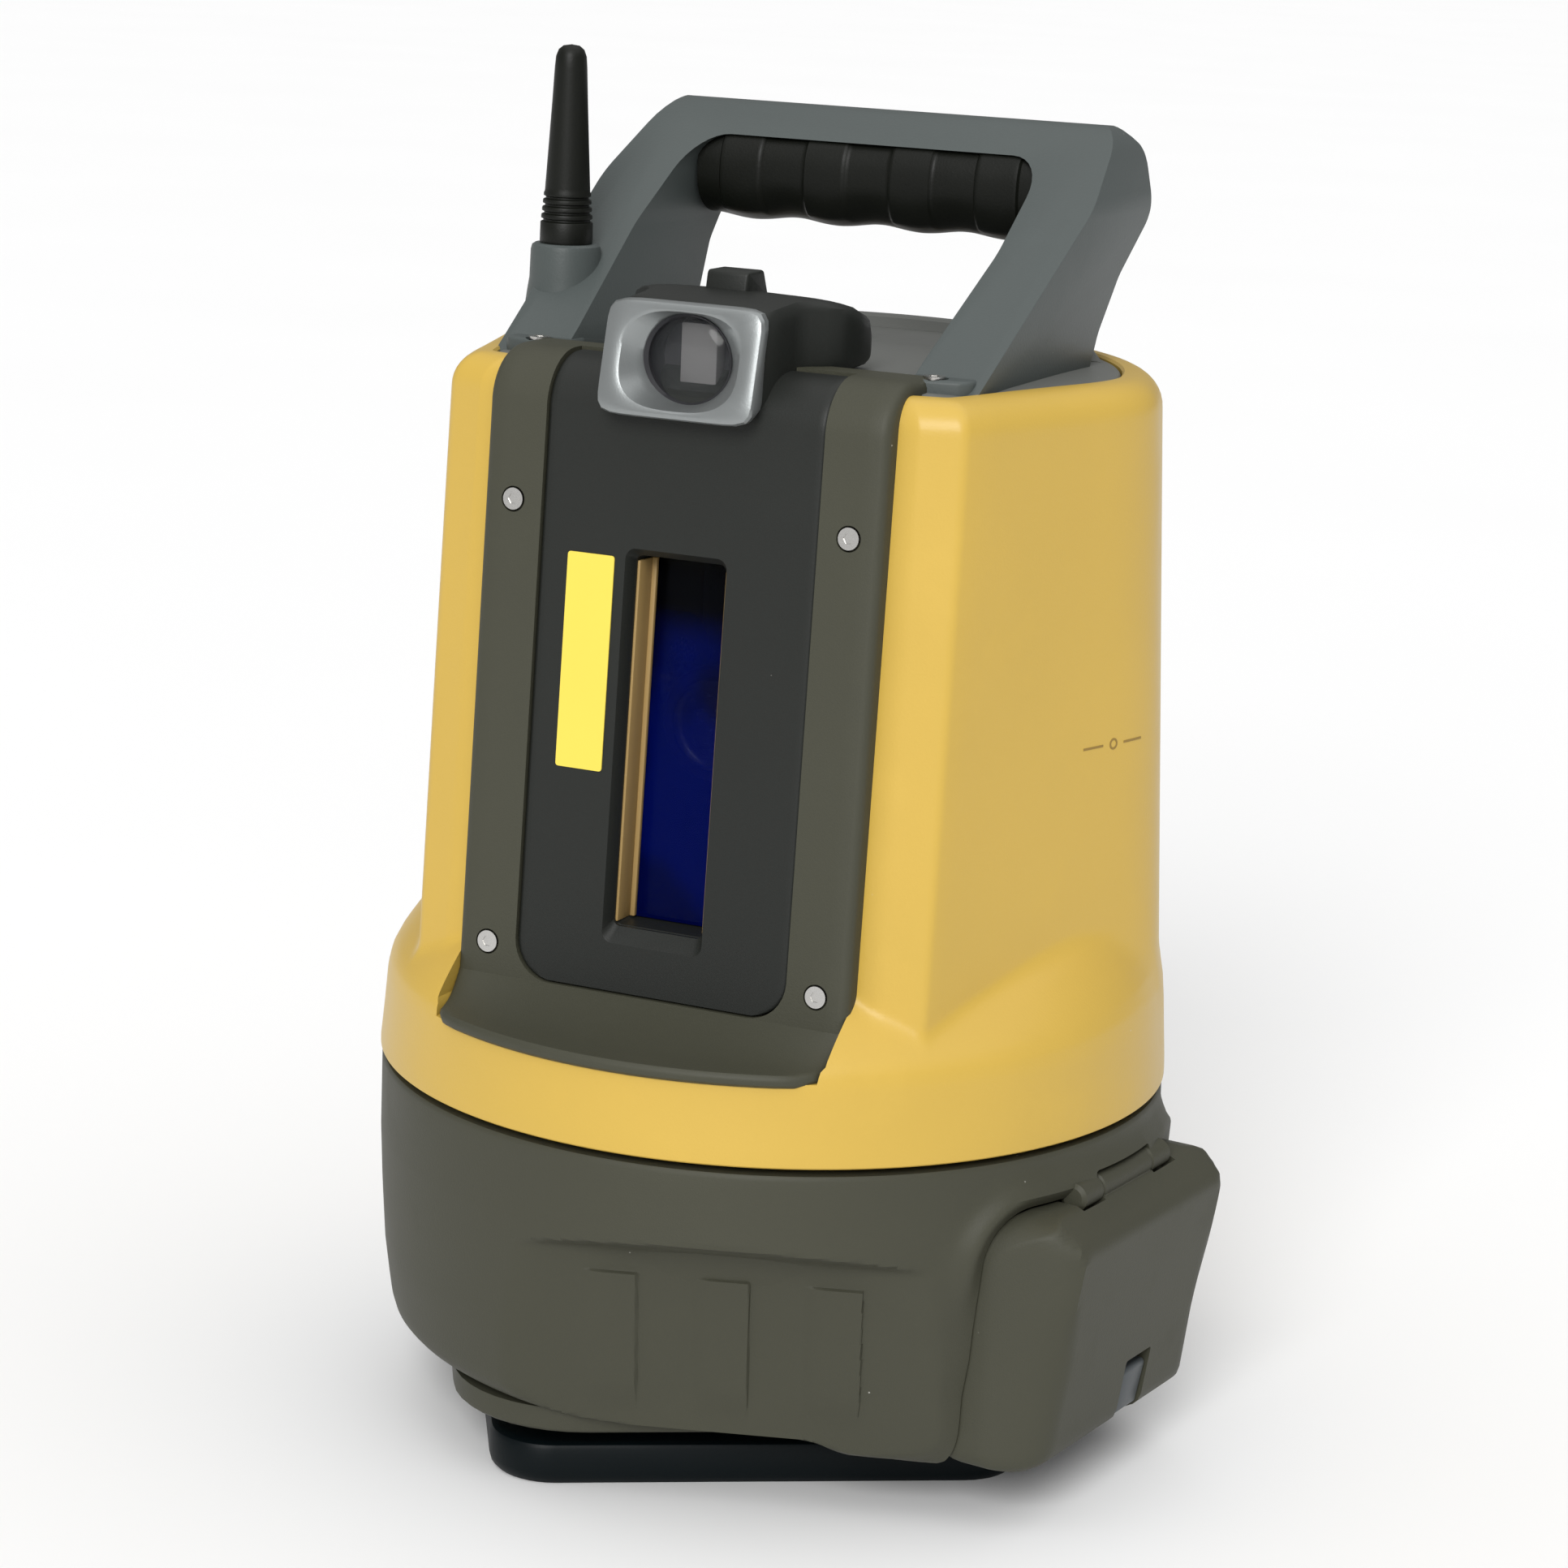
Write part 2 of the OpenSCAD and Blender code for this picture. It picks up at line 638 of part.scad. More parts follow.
module top_cover() {
    color([0.40, 0.40, 0.38]) difference() {
        union() {
            cover_solid(9, cover_z + 1, cover_top);
            intersection() {
                ring(68, back_r(head_z1) - 12, cover_top - 1, rim_top);
                slab_x(100, 52, 100, 200, 300);
            }
        }
        slab_x(100, -100, -32.8, 200, 300);
    }
}

// ---- head: handle, antenna and guide light ----

module leg_profile(outer) {
    polygon(outer
        ? [[-32.8, cover_top], [-37.8, 258.6], [-32, 262], [44, 312.6], [52, 313.5],
            [59, 309], [67, 293], [64, 287], [50, cover_top]]
        : [[-32.8, cover_top], [-37.8, 258.6], [-32, 262], [40, 310], [52, 312],
            [57, 302], [54, 288], [44, 285], [6, cover_top]]);
}
module handle_leg() {
    hull() {
        along_x(leg_in, leg_in + 1) leg_profile(false);
        along_x(handle_half - 4, handle_half - 3) leg_profile(true);
        along_x(handle_half - 1, handle_half) offset(delta = -2.5) leg_profile(true);
    }
}
module handle() {
    color([0.36, 0.39, 0.39]) difference() {
        union() {
            both_sides() handle_leg();
            translate([0, grip_y, grip_z]) rod_x(grip_r - 2, -leg_in - 3, leg_in + 3);
            along_x(-leg_in - 3, leg_in + 3) intersection() {
                translate([grip_y, grip_z]) circle(r = grip_r);
                translate([grip_y - 6, grip_z]) square([30, 30]);
            }
            translate([boss_x, boss_y, 262]) cylinder(r = boss_r, h = boss_top - 262);
        }
        translate([boss_x, boss_y, boss_top - 8]) cylinder(r = 4, h = 10);
        slab_x(100, -60, -32.8, 200, cover_top + 2.55);
        slab_x(100, -60, 70, 200, cover_top + 0.02);
        both_sides() translate([top_screw_x, top_screw_y, frame_top - 3]) cylinder(r = 3.4, h = 9);
    }
}
module grip() {
    color([0.12, 0.12, 0.1]) translate([0, grip_y, grip_z]) rotate([0, 90, 0]) {
        // shell under and in front of the bar, with four raised finger pads
        translate([0, 0, -leg_in]) rotate_extrude(angle = 146, start = 212)
            translate([grip_r - 1.95, 0]) square([1.75, 2 * leg_in]);
        for (x = [-29, -6, 16, 37.7])
            translate([0, 0, x - 5]) rotate_extrude(angle = 142, start = 213)
                translate([grip_r - 1, 0]) square([1.2, 10]);
    }
}
module antenna() {
    color([0.14, 0.16, 0.17]) translate([boss_x, boss_y, boss_top - 7.5]) rotate_extrude()
        polygon([[0, 0], [3.95, 0], [3.95, 7.52], [6.1, 7.52], [6.1, 9.6], [5.6, 10], [5.6, 10.8], [6, 11.2],
            [6, 13.2], [5.5, 13.6], [5.5, 14.4], [5.9, 14.8], [5.9, 16.6], [5.4, 17], [5.4, 17.8],
            [5.6, 18.2], [3.75, 50.4], [3.3, 52], [2.2, 53.2], [0, 53.7]]);
}
module light_housing() {
    color([0.17, 0.175, 0.17]) difference() {
        union() {
            hull() {
                slab_x(light_half - 0.8, light_front + 3.2, -56, light_z0 + 1, light_z1 - 0.5);
                slab_x(light_half - 0.4, -47, -44, 262.6, light_z1);
                slab_x(light_half - 0.4, -47, -44, 256, light_z1 - 3);
            }
            hull() {
                slab_x(light_half, -45, -44, frame_top - 0.4, light_z1 - 0.4);
                slab_x(27.5, -36, -17, frame_top - 0.4, 271);
                slab_x(23, -38, -15, frame_top - 0.4, 275.2);
            }
            hull() {
                slab_x(27.5, -32.7, -17, cover_top + 0.05, frame_top);
                slab_x(23, -32.7, -15, cover_top + 0.05, frame_top);
            }
        }
        slab_x(5.65, -40.05, -27.9, 274.45, 290);
        translate([0, 0, light_z]) rod_y(lens_r + 0.6, -80, -40);
        slab_x(60, -80, -59.5, 240, light_z0 + 1.5);
    }
}
module light_bezel() {
    color([0.50, 0.52, 0.52]) difference() {
        hull() for (x = [-1, 1], z = [light_z0 + 3, light_z1 - 3]) {
            translate([x * (light_half - 3), 0, z]) rod_y(3, light_front + 1, light_front + 3.1);
            translate([x * (light_half - 3.6), 0, z]) rod_y(3, light_front, light_front + 2);
        }
        translate([0, 0, light_z]) {
            rod_y(lens_r, -80, -50);
            translate([0, light_front - 0.5, 0]) rotate([-90, 0, 0]) cylinder(r1 = 12.4, r2 = lens_r, h = 3);
        }
    }
}
module light_lens() {
    color([0.6, 0.65, 0.68, 0.5]) translate([0, 0, light_z]) rod_y(lens_r, -58, -55.5);
}
module light_prism() {
    color([0.75, 0.8, 0.82, 0.5]) translate([-6.5, -54, light_z - 6.5]) cube([13, 12, 13]);
}
module sight_block() {
    color([0.16, 0.17, 0.17]) along_x(-5.6, 5.6)
        polygon([[-40, 274.5], [-39, 282], [-31, 282], [-28, 274.5]]);
}

// ---- telescope ----

module telescope_barrel() {
    color([0.13, 0.13, 0.14]) translate([0, 0, tilt_z]) difference() {
        union() {
            rod_y(14, -38, 30);
            rod_x(11, -18, 18);
        }
        rod_y(11, -50, -31);
        rod_y(8, -50, 40);
        rod_x(axle_r, -30, 30);
    }
}
module objective_lens() {
    color([0.3, 0.35, 0.6, 0.6]) translate([0, 0, tilt_z]) rod_y(11, -36.5, -33);
}
module telescope_axle() {
    color("silver") translate([0, 0, tilt_z]) for (s = [-1, 1])
        rod_x(axle_r, s > 0 ? 8.5 : -tower_x - tower_t - 2, s > 0 ? tilt_gear_x + gear_h + 1 : -8.5);
}
module tilt_gear() {
    color([0.75, 0.6, 0.3]) translate([0, 0, tilt_z]) difference() {
        along_x(tilt_gear_x, tilt_gear_x + gear_h) gear_2d(tilt_teeth);
        rod_x(axle_r, 20, 60);
    }
}
module rangefinder() {
    color([0.3, 0.31, 0.32]) translate([0, 0, tilt_z]) difference() {
        slab_x(17, 26, 46, -13, 13);
        rod_y(14, 20, 30);
    }
}

foot_plate();
thread_insert();
gimbal_yoke();
gimbal_cross();
base_housing();
base_plate();
base_frame();
pan_bearings();
pan_motor();
pan_pinion();
battery_bay();
battery_pack();
battery_contacts();
hinge_pin();
battery_door();
battery_latch();
level_motors();
level_jack_x();
level_jack_y();
control_panel();
power_button();
status_lights();
data_port();
port_cap();
seal_ring();
spindle();
pan_gear();
encoder_disc();
head_frame();
head_shell();
front_frame();
front_panel();
window_liner();
window_glass();
blank_label();
front_screws();
top_screws();
top_cover();
light_housing();
light_bezel();
light_lens();
light_prism();
sight_block();
handle();
grip();
antenna();
tilt_bearings();
tilt_motor();
tilt_pinion();
circuit_board();
telescope_barrel();
objective_lens();
telescope_axle();
tilt_gear();
rangefinder();
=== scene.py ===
"""Builds the surveying scanner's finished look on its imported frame.

Lengths inside the shape code are millimetres, turned into metres when a mesh is made.
The head looks towards -Y, +X is on the right of someone facing it, and azimuths run
from -Y towards +X as seen from above.
"""

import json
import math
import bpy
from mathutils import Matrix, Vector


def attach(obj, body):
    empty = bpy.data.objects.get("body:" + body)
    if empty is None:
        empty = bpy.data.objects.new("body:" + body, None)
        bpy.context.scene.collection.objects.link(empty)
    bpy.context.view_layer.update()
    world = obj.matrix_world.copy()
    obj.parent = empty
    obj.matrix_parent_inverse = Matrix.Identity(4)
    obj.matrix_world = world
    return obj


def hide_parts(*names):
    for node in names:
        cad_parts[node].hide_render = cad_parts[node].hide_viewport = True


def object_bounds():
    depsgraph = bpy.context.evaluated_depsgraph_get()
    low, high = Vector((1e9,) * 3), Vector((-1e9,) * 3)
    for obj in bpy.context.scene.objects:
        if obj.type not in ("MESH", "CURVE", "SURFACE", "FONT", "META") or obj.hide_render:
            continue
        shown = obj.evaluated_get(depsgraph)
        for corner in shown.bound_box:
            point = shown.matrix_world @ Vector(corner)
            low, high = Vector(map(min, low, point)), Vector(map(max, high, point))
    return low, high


bl_info = {
    "name": "Surveying Scanner Builder",
    "version": (1, 0, 0),
    "blender": (4, 5, 0),
    "location": "View3D > Sidebar > Scanner",
    "description": "Builds a turning survey scanner on its levelling base, piece by piece",
    "category": "Add Mesh",
}

import bmesh
import bpy
import numpy as np
from bpy.props import FloatProperty, FloatVectorProperty, PointerProperty
from mathutils import Matrix, Vector

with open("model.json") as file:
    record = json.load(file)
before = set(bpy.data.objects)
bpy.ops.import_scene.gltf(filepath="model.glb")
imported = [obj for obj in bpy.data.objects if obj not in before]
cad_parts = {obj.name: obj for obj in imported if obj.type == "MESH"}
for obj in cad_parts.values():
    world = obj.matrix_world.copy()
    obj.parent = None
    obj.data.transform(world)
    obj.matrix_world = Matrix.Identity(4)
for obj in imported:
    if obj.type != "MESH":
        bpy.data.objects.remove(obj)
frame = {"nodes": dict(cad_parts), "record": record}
CAD_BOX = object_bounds()

MM = 0.001
TAN_LEAN = 0.065        # lean of the head's front face
DOOR_AZ = 84.0          # azimuth of the battery door
RECESS_AZ = 18.4        # azimuth of the ribbed hand recess
PANEL_AZ = 275.0        # azimuth of the control panel
FOOT_AZ = 32.0          # yaw of the foot and of the block above it
TILT_Z = 177.0          # height of the tilt axis
LIGHT_Z = 263.3         # height of the guide light's middle
HINGE_OUT = 94.5        # distance of the door's hinge from the axis
HINGE_Z = 77.5          # height of the door's hinge
DOOR_HALF = 43.5        # half width of the battery door
DOOR_LOW = 15.6         # height of the door's lower edge
DOOR_TOP = 76.5         # height of the door's upper edge
PANEL_Z = 54.0          # height of the control panel's middle
SCREW_X = 41.8          # the front frame's screws on either side of the middle
SCREW_ROWS = (228.2, 125.9)   # and their heights
ANTENNA = (-57.3, -11.5)      # middle of the antenna in plan
FOOT_SCREW = (49.6, -37.1)    # the handle's screws in plan, on either side


# ---------------------------------------------------------------- small shape helpers


def front_y(z):
    """y of the head's front face at height z."""
    return -69.1 + TAN_LEAN * (z - 115.7)


def soft_min(a, b, width):
    """Smaller of a and b, with the corner between them rounded over width."""
    near = np.maximum(width - np.abs(a - b), 0.0) / width
    return np.minimum(a, b) - near * near * width / 4


def soft_max(a, b, width):
    """Larger of a and b, with the corner between them rounded over width."""
    return -soft_min(-a, -b, width)


def ease(x, low, high):
    """0 below low, 1 above high and a smooth rise between them."""
    t = np.clip((x - low) / (high - low), 0.0, 1.0)
    return t * t * (3 - 2 * t)


def toward(azimuth):
    """Unit vector in plan towards an azimuth in degrees."""
    a = math.radians(azimuth)
    return np.array([math.sin(a), -math.cos(a)])


def from_face(azimuth, across, out, z):
    """Point given by its place across and out from the axis on a face of that azimuth."""
    n, t = toward(azimuth), toward(azimuth + 90)
    return (n[0] * out + t[0] * across, n[1] * out + t[1] * across, z)


def new_object(name, points, faces):
    """A mesh object from points in millimetres."""
    mesh = bpy.data.meshes.new(name)
    mesh.from_pydata((np.asarray(points, float) * MM).tolist(), [], faces)
    obj = bpy.data.objects.new(name, mesh)
    bpy.context.scene.collection.objects.link(obj)
    return obj


def cleaned(obj, merge=1e-6):
    """Merges doubles and turns every face outwards."""
    work = bmesh.new()
    work.from_mesh(obj.data)
    bmesh.ops.remove_doubles(work, verts=work.verts, dist=merge)
    bmesh.ops.dissolve_degenerate(work, edges=work.edges, dist=1e-7)
    bmesh.ops.recalc_face_normals(work, faces=work.faces)
    work.to_mesh(obj.data)
    work.free()
    return obj


def lofted(name, rings, loop=False, ends=True):
    """Skin over closed rings of equal count; loop joins the last ring to the first."""
    pts = np.asarray(rings, float)
    rows, cols = pts.shape[:2]
    faces = []
    for v in range(rows if loop else rows - 1):
        a, b = v * cols, ((v + 1) % rows) * cols
        for u in range(cols):
            w = (u + 1) % cols
            faces.append((a + u, a + w, b + w, b + u))
    if ends and not loop:
        faces.append(tuple(range(cols - 1, -1, -1)))
        faces.append(tuple(range((rows - 1) * cols, rows * cols)))
    return cleaned(new_object(name, pts.reshape(-1, 3), faces))


def slab(name, top, bottom):
    """Closed solid between two grids of points with the same rows and columns."""
    top, bottom = np.asarray(top, float), np.asarray(bottom, float)
    rows, cols = top.shape[:2]
    count = rows * cols
    faces = []
    for v in range(rows - 1):
        for u in range(cols - 1):
            a = v * cols + u
            quad = (a, a + 1, a + cols + 1, a + cols)
            faces.append(quad)
            faces.append(tuple(count + q for q in reversed(quad)))
    edge = list(range(cols))
    edge += [v * cols + cols - 1 for v in range(1, rows)]
    edge += [(rows - 1) * cols + u for u in range(cols - 2, -1, -1)]
    edge += [v * cols for v in range(rows - 2, 0, -1)]
    for a, b in zip(edge, edge[1:] + edge[:1]):
        faces.append((a, count + a, count + b, b))
    points = np.concatenate([top.reshape(-1, 3), bottom.reshape(-1, 3)])
    return cleaned(new_object(name, points, faces))


def prism(name, outline, axis, low, high):
    """Outline pushed along an axis: x takes (y, z) points, y takes (x, z), z takes (x, y)."""
    place = {"x": lambda p, h: (h, p[0], p[1]), "y": lambda p, h: (p[0], h, p[1]),
             "z": lambda p, h: (p[0], p[1], h)}[axis]
    return lofted(name, [[place(p, low) for p in outline], [place(p, high) for p in outline]])


def circle_angles(count):
    """Evenly spaced angles round a circle, in radians."""
    return np.linspace(0, 2 * math.pi, count, endpoint=False)


def squared(angle, power):
    """Point of a unit circle pushed out towards a square; a higher power is squarer."""
    c, s = math.cos(angle), math.sin(angle)
    k = (abs(c) ** power + abs(s) ** power) ** (-1 / power)
    return c, s, k


def rounded_box(half_x, half_y, radius, steps=6, centre=(0, 0)):
    """Outline of a rectangle with round corners."""
    points = []
    for k, (sx, sy) in enumerate([(1, 1), (-1, 1), (-1, -1), (1, -1)]):
        for i in range(steps + 1):
            a = math.radians(90 * k + 90 * i / steps)
            points.append((centre[0] + sx * (half_x - radius) + radius * math.cos(a),
                           centre[1] + sy * (half_y - radius) + radius * math.sin(a)))
    return points


def rounded_outline(corners, steps=6):
    """Polygon whose corners are given as (x, y, radius), each rounded by an arc."""
    points = []
    count = len(corners)
    for i, (x, y, radius) in enumerate(corners):
        here = np.array([x, y], float)
        before = np.array(corners[i - 1][:2], float) - here
        after = np.array(corners[(i + 1) % count][:2], float) - here
        before /= np.linalg.norm(before)
        after /= np.linalg.norm(after)
        if radius <= 0:
            points.append(tuple(here))
            continue
        half = math.acos(max(-1, min(1, float(before @ after)))) / 2
        reach = radius / math.tan(half)
        middle = here + (before + after) / np.linalg.norm(before + after) * radius / math.sin(half)
        start, end = here + before * reach - middle, here + after * reach - middle
        a0, a1 = math.atan2(start[1], start[0]), math.atan2(end[1], end[0])
        turn = (a1 - a0 + math.pi) % (2 * math.pi) - math.pi
        for k in range(steps + 1):
            a = a0 + turn * k / steps
            points.append((middle[0] + radius * math.cos(a), middle[1] + radius * math.sin(a)))
    return points


def turned(name, profile, sides=64, centre=(0, 0), loop=False):
    """Solid of revolution about a vertical line from (radius, height) points."""
    angles = circle_angles(sides)
    rings = [[(centre[0] + r * math.cos(a), centre[1] + r * math.sin(a), z) for a in angles]
             for r, z in profile]
    return lofted(name, rings, loop=loop)


def moved(obj, matrix):
    """Applies a matrix in metres to the mesh."""
    obj.data.transform(matrix)
    return obj


def settled(obj):
    """Bakes an object's modifiers into its mesh."""
    bpy.context.view_layer.update()
    ready = obj.evaluated_get(bpy.context.evaluated_depsgraph_get())
    mesh = bpy.data.meshes.new_from_object(ready)
    obj.modifiers.clear()
    old, obj.data = obj.data, mesh
    bpy.data.meshes.remove(old)
    return obj


def combined(obj, tool, operation="DIFFERENCE"):
    """Boolean of obj with a tool that is then removed."""
    change = obj.modifiers.new("Combine", "BOOLEAN")
    change.operation, change.solver, change.object = operation, "EXACT", tool
    settled(obj)
    bpy.data.objects.remove(tool)
    return obj


def bevelled(obj, width, segments=3, angle=32.0):
    """Rounds every edge sharper than angle."""
    work = bmesh.new()
    work.from_mesh(obj.data)
    bmesh.ops.remove_doubles(work, verts=work.verts, dist=5e-6)
    flat = math.radians(1.0)
    bmesh.ops.dissolve_limit(work, angle_limit=flat, verts=work.verts, edges=work.edges)
    work.to_mesh(obj.data)
    work.free()
    edge = obj.modifiers.new("Round", "BEVEL")
    edge.width, edge.segments, edge.limit_method = width * MM, segments, "ANGLE"
    edge.angle_limit, edge.use_clamp_overlap = math.radians(angle), True
    edge.miter_outer = "MITER_ARC"
    return settled(obj)


def joined(name, *objs):
    """One object from several."""
    work = bmesh.new()
    for obj in objs:
        work.from_mesh(obj.data)
        bpy.data.objects.remove(obj)
    mesh = bpy.data.meshes.new(name)
    work.to_mesh(mesh)
    work.free()
    obj = bpy.data.objects.new(name, mesh)
    bpy.context.scene.collection.objects.link(obj)
    return obj


def placed(obj, body, finish, replaces=(), smooth=38.0):
    """Shades a piece, gives it its finish and rides it on its body."""
    obj.data.shade_smooth()
    obj.data.set_sharp_from_angle(angle=math.radians(smooth))
    obj.data.materials.clear()
    obj.data.materials.append(FINISHES[finish])
    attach(obj, body)
    if replaces:
        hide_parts(*replaces)
    return obj


# ---------------------------------------------------------------- finishes


class Wire:
    """A node socket that takes part in Python arithmetic."""

    def __init__(self, tree, socket):
        self.tree, self.socket = tree, socket

    def maths(self, operation, first, second):
        node = self.tree.nodes.new("ShaderNodeMath")
        node.operation = operation
        for place, value in enumerate((first, second)):
            if isinstance(value, Wire):
                self.tree.links.new(value.socket, node.inputs[place])
            else:
                node.inputs[place].default_value = value
        return Wire(self.tree, node.outputs[0])

    def __add__(self, other):
        return self.maths("ADD", self, other)

    def __radd__(self, other):
        return self.maths("ADD", other, self)

    def __sub__(self, other):
        return self.maths("SUBTRACT", self, other)

    def __rsub__(self, other):
        return self.maths("SUBTRACT", other, self)

    def __mul__(self, other):
        return self.maths("MULTIPLY", self, other)

    def __rmul__(self, other):
        return self.maths("MULTIPLY", other, self)


class Finish:
    """One procedural material, built node by node."""

    def __init__(self, name):
        self.material = bpy.data.materials.new(name)
        self.material.use_nodes = True
        self.tree = self.material.node_tree
        self.tree.nodes.clear()
        self.shader = self.tree.nodes.new("ShaderNodeBsdfPrincipled")
        output = self.tree.nodes.new("ShaderNodeOutputMaterial")
        self.tree.links.new(self.shader.outputs[0], output.inputs[0])
        self.place = self.node("ShaderNodeTexCoord").outputs["Object"]

    def node(self, kind, settings=None, **sockets):
        """A node with its settings made first and then its sockets set or linked."""
        node = self.tree.nodes.new(kind)
        for key, value in (settings or {}).items():
            setattr(node, key, value)
        for key, value in sockets.items():
            self.feed(node.inputs[key], value)
        return node

    def feed(self, socket, value):
        """Links a socket to a value that varies, or sets it to one that doesn't."""
        if isinstance(value, Wire):
            value = value.socket
        if isinstance(value, bpy.types.NodeSocket):
            self.tree.links.new(value, socket)
        else:
            socket.default_value = value

    def set(self, **sockets):
        """Sets or links the shader's own sockets, with _ for a blank in a name."""
        for key, value in sockets.items():
            self.feed(self.shader.inputs[key.replace("_", " ")], value)
        return self

    def noise(self, scale, detail=2.0, roughness=0.5, stretch=(1, 1, 1)):
        """Noise whose scale is in cells per metre."""
        spot = self.node("ShaderNodeMapping", Vector=self.place, Scale=stretch)
        grain = self.node("ShaderNodeTexNoise", {"noise_dimensions": "3D"},
                          Vector=spot.outputs[0], Scale=scale, Detail=detail, Roughness=roughness)
        return Wire(self.tree, grain.outputs["Fac"])

    def cells(self, scale):
        """Distance to the nearest of scattered points, whose spacing is in cells per metre."""
        node = self.node("ShaderNodeTexVoronoi", {"feature": "F1"}, Vector=self.place, Scale=scale)
        return Wire(self.tree, node.outputs["Distance"])

    def axis(self, letter):
        """One Object coordinate in metres."""
        split = self.node("ShaderNodeSeparateXYZ", Vector=self.place)
        return Wire(self.tree, split.outputs[letter])

    def span(self, value, low, high, to_low=0.0, to_high=1.0):
        """Value moved smoothly from one range to another and held at its ends."""
        node = self.node("ShaderNodeMapRange", {"interpolation_type": "SMOOTHSTEP"}, Value=value)
        for key, number in (("From Min", low), ("From Max", high), ("To Min", to_low), ("To Max", to_high)):
            node.inputs[key].default_value = number
        return Wire(self.tree, node.outputs[0])

    def blend(self, share, first, second):
        """Colour mix of two colours by share."""
        node = self.node("ShaderNodeMix", {"data_type": "RGBA"})
        for index, value in ((0, share), (6, first), (7, second)):
            self.feed(node.inputs[index], value)
        return node.outputs[2]

    def relief(self, height, strength, depth):
        """Bump whose depth is in metres."""
        node = self.node("ShaderNodeBump", Height=height, Strength=strength, Distance=depth)
        self.feed(self.shader.inputs["Normal"], node.outputs[0])
        return self


def tone(colour, factor):
    """Colour made lighter or darker by a factor, with full alpha."""
    return tuple(min(1.0, c * factor) for c in colour[:3]) + (1.0,)


def paint(name, colour, roughness, grain, depth, scuff=0.25, coat=0.0, metal=0.0, shine=0.3):
    """Sprayed or moulded surface with a fine grain, faint clouding, rubbed patches and specks."""
    finish = Finish(name)
    cloud = finish.noise(14, 3, 0.55)
    rubbed = finish.span(finish.noise(38, 4, 0.65), 0.52, 0.74)
    specks = finish.span(finish.cells(120), 0.035, 0.02) * finish.span(finish.noise(22, 1), 0.56, 0.66)
    shade = finish.blend(cloud, tone(colour, 0.93), tone(colour, 1.06))
    shade = finish.blend(rubbed * scuff, shade, tone(colour, 1.22))
    shade = finish.blend(specks * 0.55, shade, (0.55, 0.54, 0.5, 1.0))
    fine = finish.noise(grain, 2, 0.6)
    finish.set(Base_Color=shade, Metallic=metal, Coat_Weight=coat, Coat_Roughness=0.25,
               Specular_IOR_Level=shine, Roughness=roughness + (cloud - 0.5) * 0.1 + rubbed * 0.06)
    return finish.relief(fine, 0.35, depth).material


def metal(name, colour, roughness, streak=(1, 1, 1), grain=900):
    """Bare metal with fine turning or rolling marks."""
    finish = Finish(name)
    marks = finish.noise(grain, 3, 0.6, streak)
    cloud = finish.noise(60, 2)
    shade = finish.blend(cloud, tone(colour, 0.86), tone(colour, 1.1))
    finish.set(Base_Color=shade, Metallic=1.0, Roughness=roughness + (marks - 0.5) * 0.18)
    return finish.relief(marks, 0.2, 0.00004).material


def clear(name, colour, alpha, roughness=0.03):
    """Thin glass or filter that lets part of what is behind show."""
    finish = Finish(name)
    film = finish.noise(45, 3, 0.6)
    shade = finish.blend(film, tone(colour, 0.7), tone(colour, 1.25))
    finish.set(Base_Color=shade, Roughness=roughness + film * 0.03, Alpha=alpha, Coat_Weight=1.0,
               Coat_Roughness=0.02, IOR=1.5)
    return finish.material


def blue_filter():
    """Deep blue filter with painted shade that makes it nearly black at its top, painted light rising towards
    its bottom, and painted dim lit shapes of what is behind it.
    """
    finish = Finish("Blue filter")
    height = finish.axis("Z")
    # Painted light and shade: noise paints dim lit shapes of the parts behind the filter, its top is painted
    # nearly black as shade above 0.196 m, and painted light rises below 0.19 m towards its bottom.
    painted_shapes_behind = finish.span(finish.noise(26, 2, 0.5, (1.6, 1, 0.8)), 0.46, 0.56)
    painted_top_shade = finish.span(height, 0.196, 0.207)
    lit = (1.0 - painted_top_shade) * (0.3 + finish.span(height, 0.19, 0.15) * 0.25 + painted_shapes_behind * 0.55)
    shade = finish.blend(lit, (0.0004, 0.0005, 0.0015, 1.0), (0.0003, 0.003, 0.075, 1.0))
    finish.set(Base_Color=shade, Roughness=0.06 + painted_shapes_behind * 0.02, Alpha=0.72, Coat_Weight=0.0, IOR=1.45)
    finish.shader.inputs["Specular IOR Level"].default_value = 0.05
    return finish.material


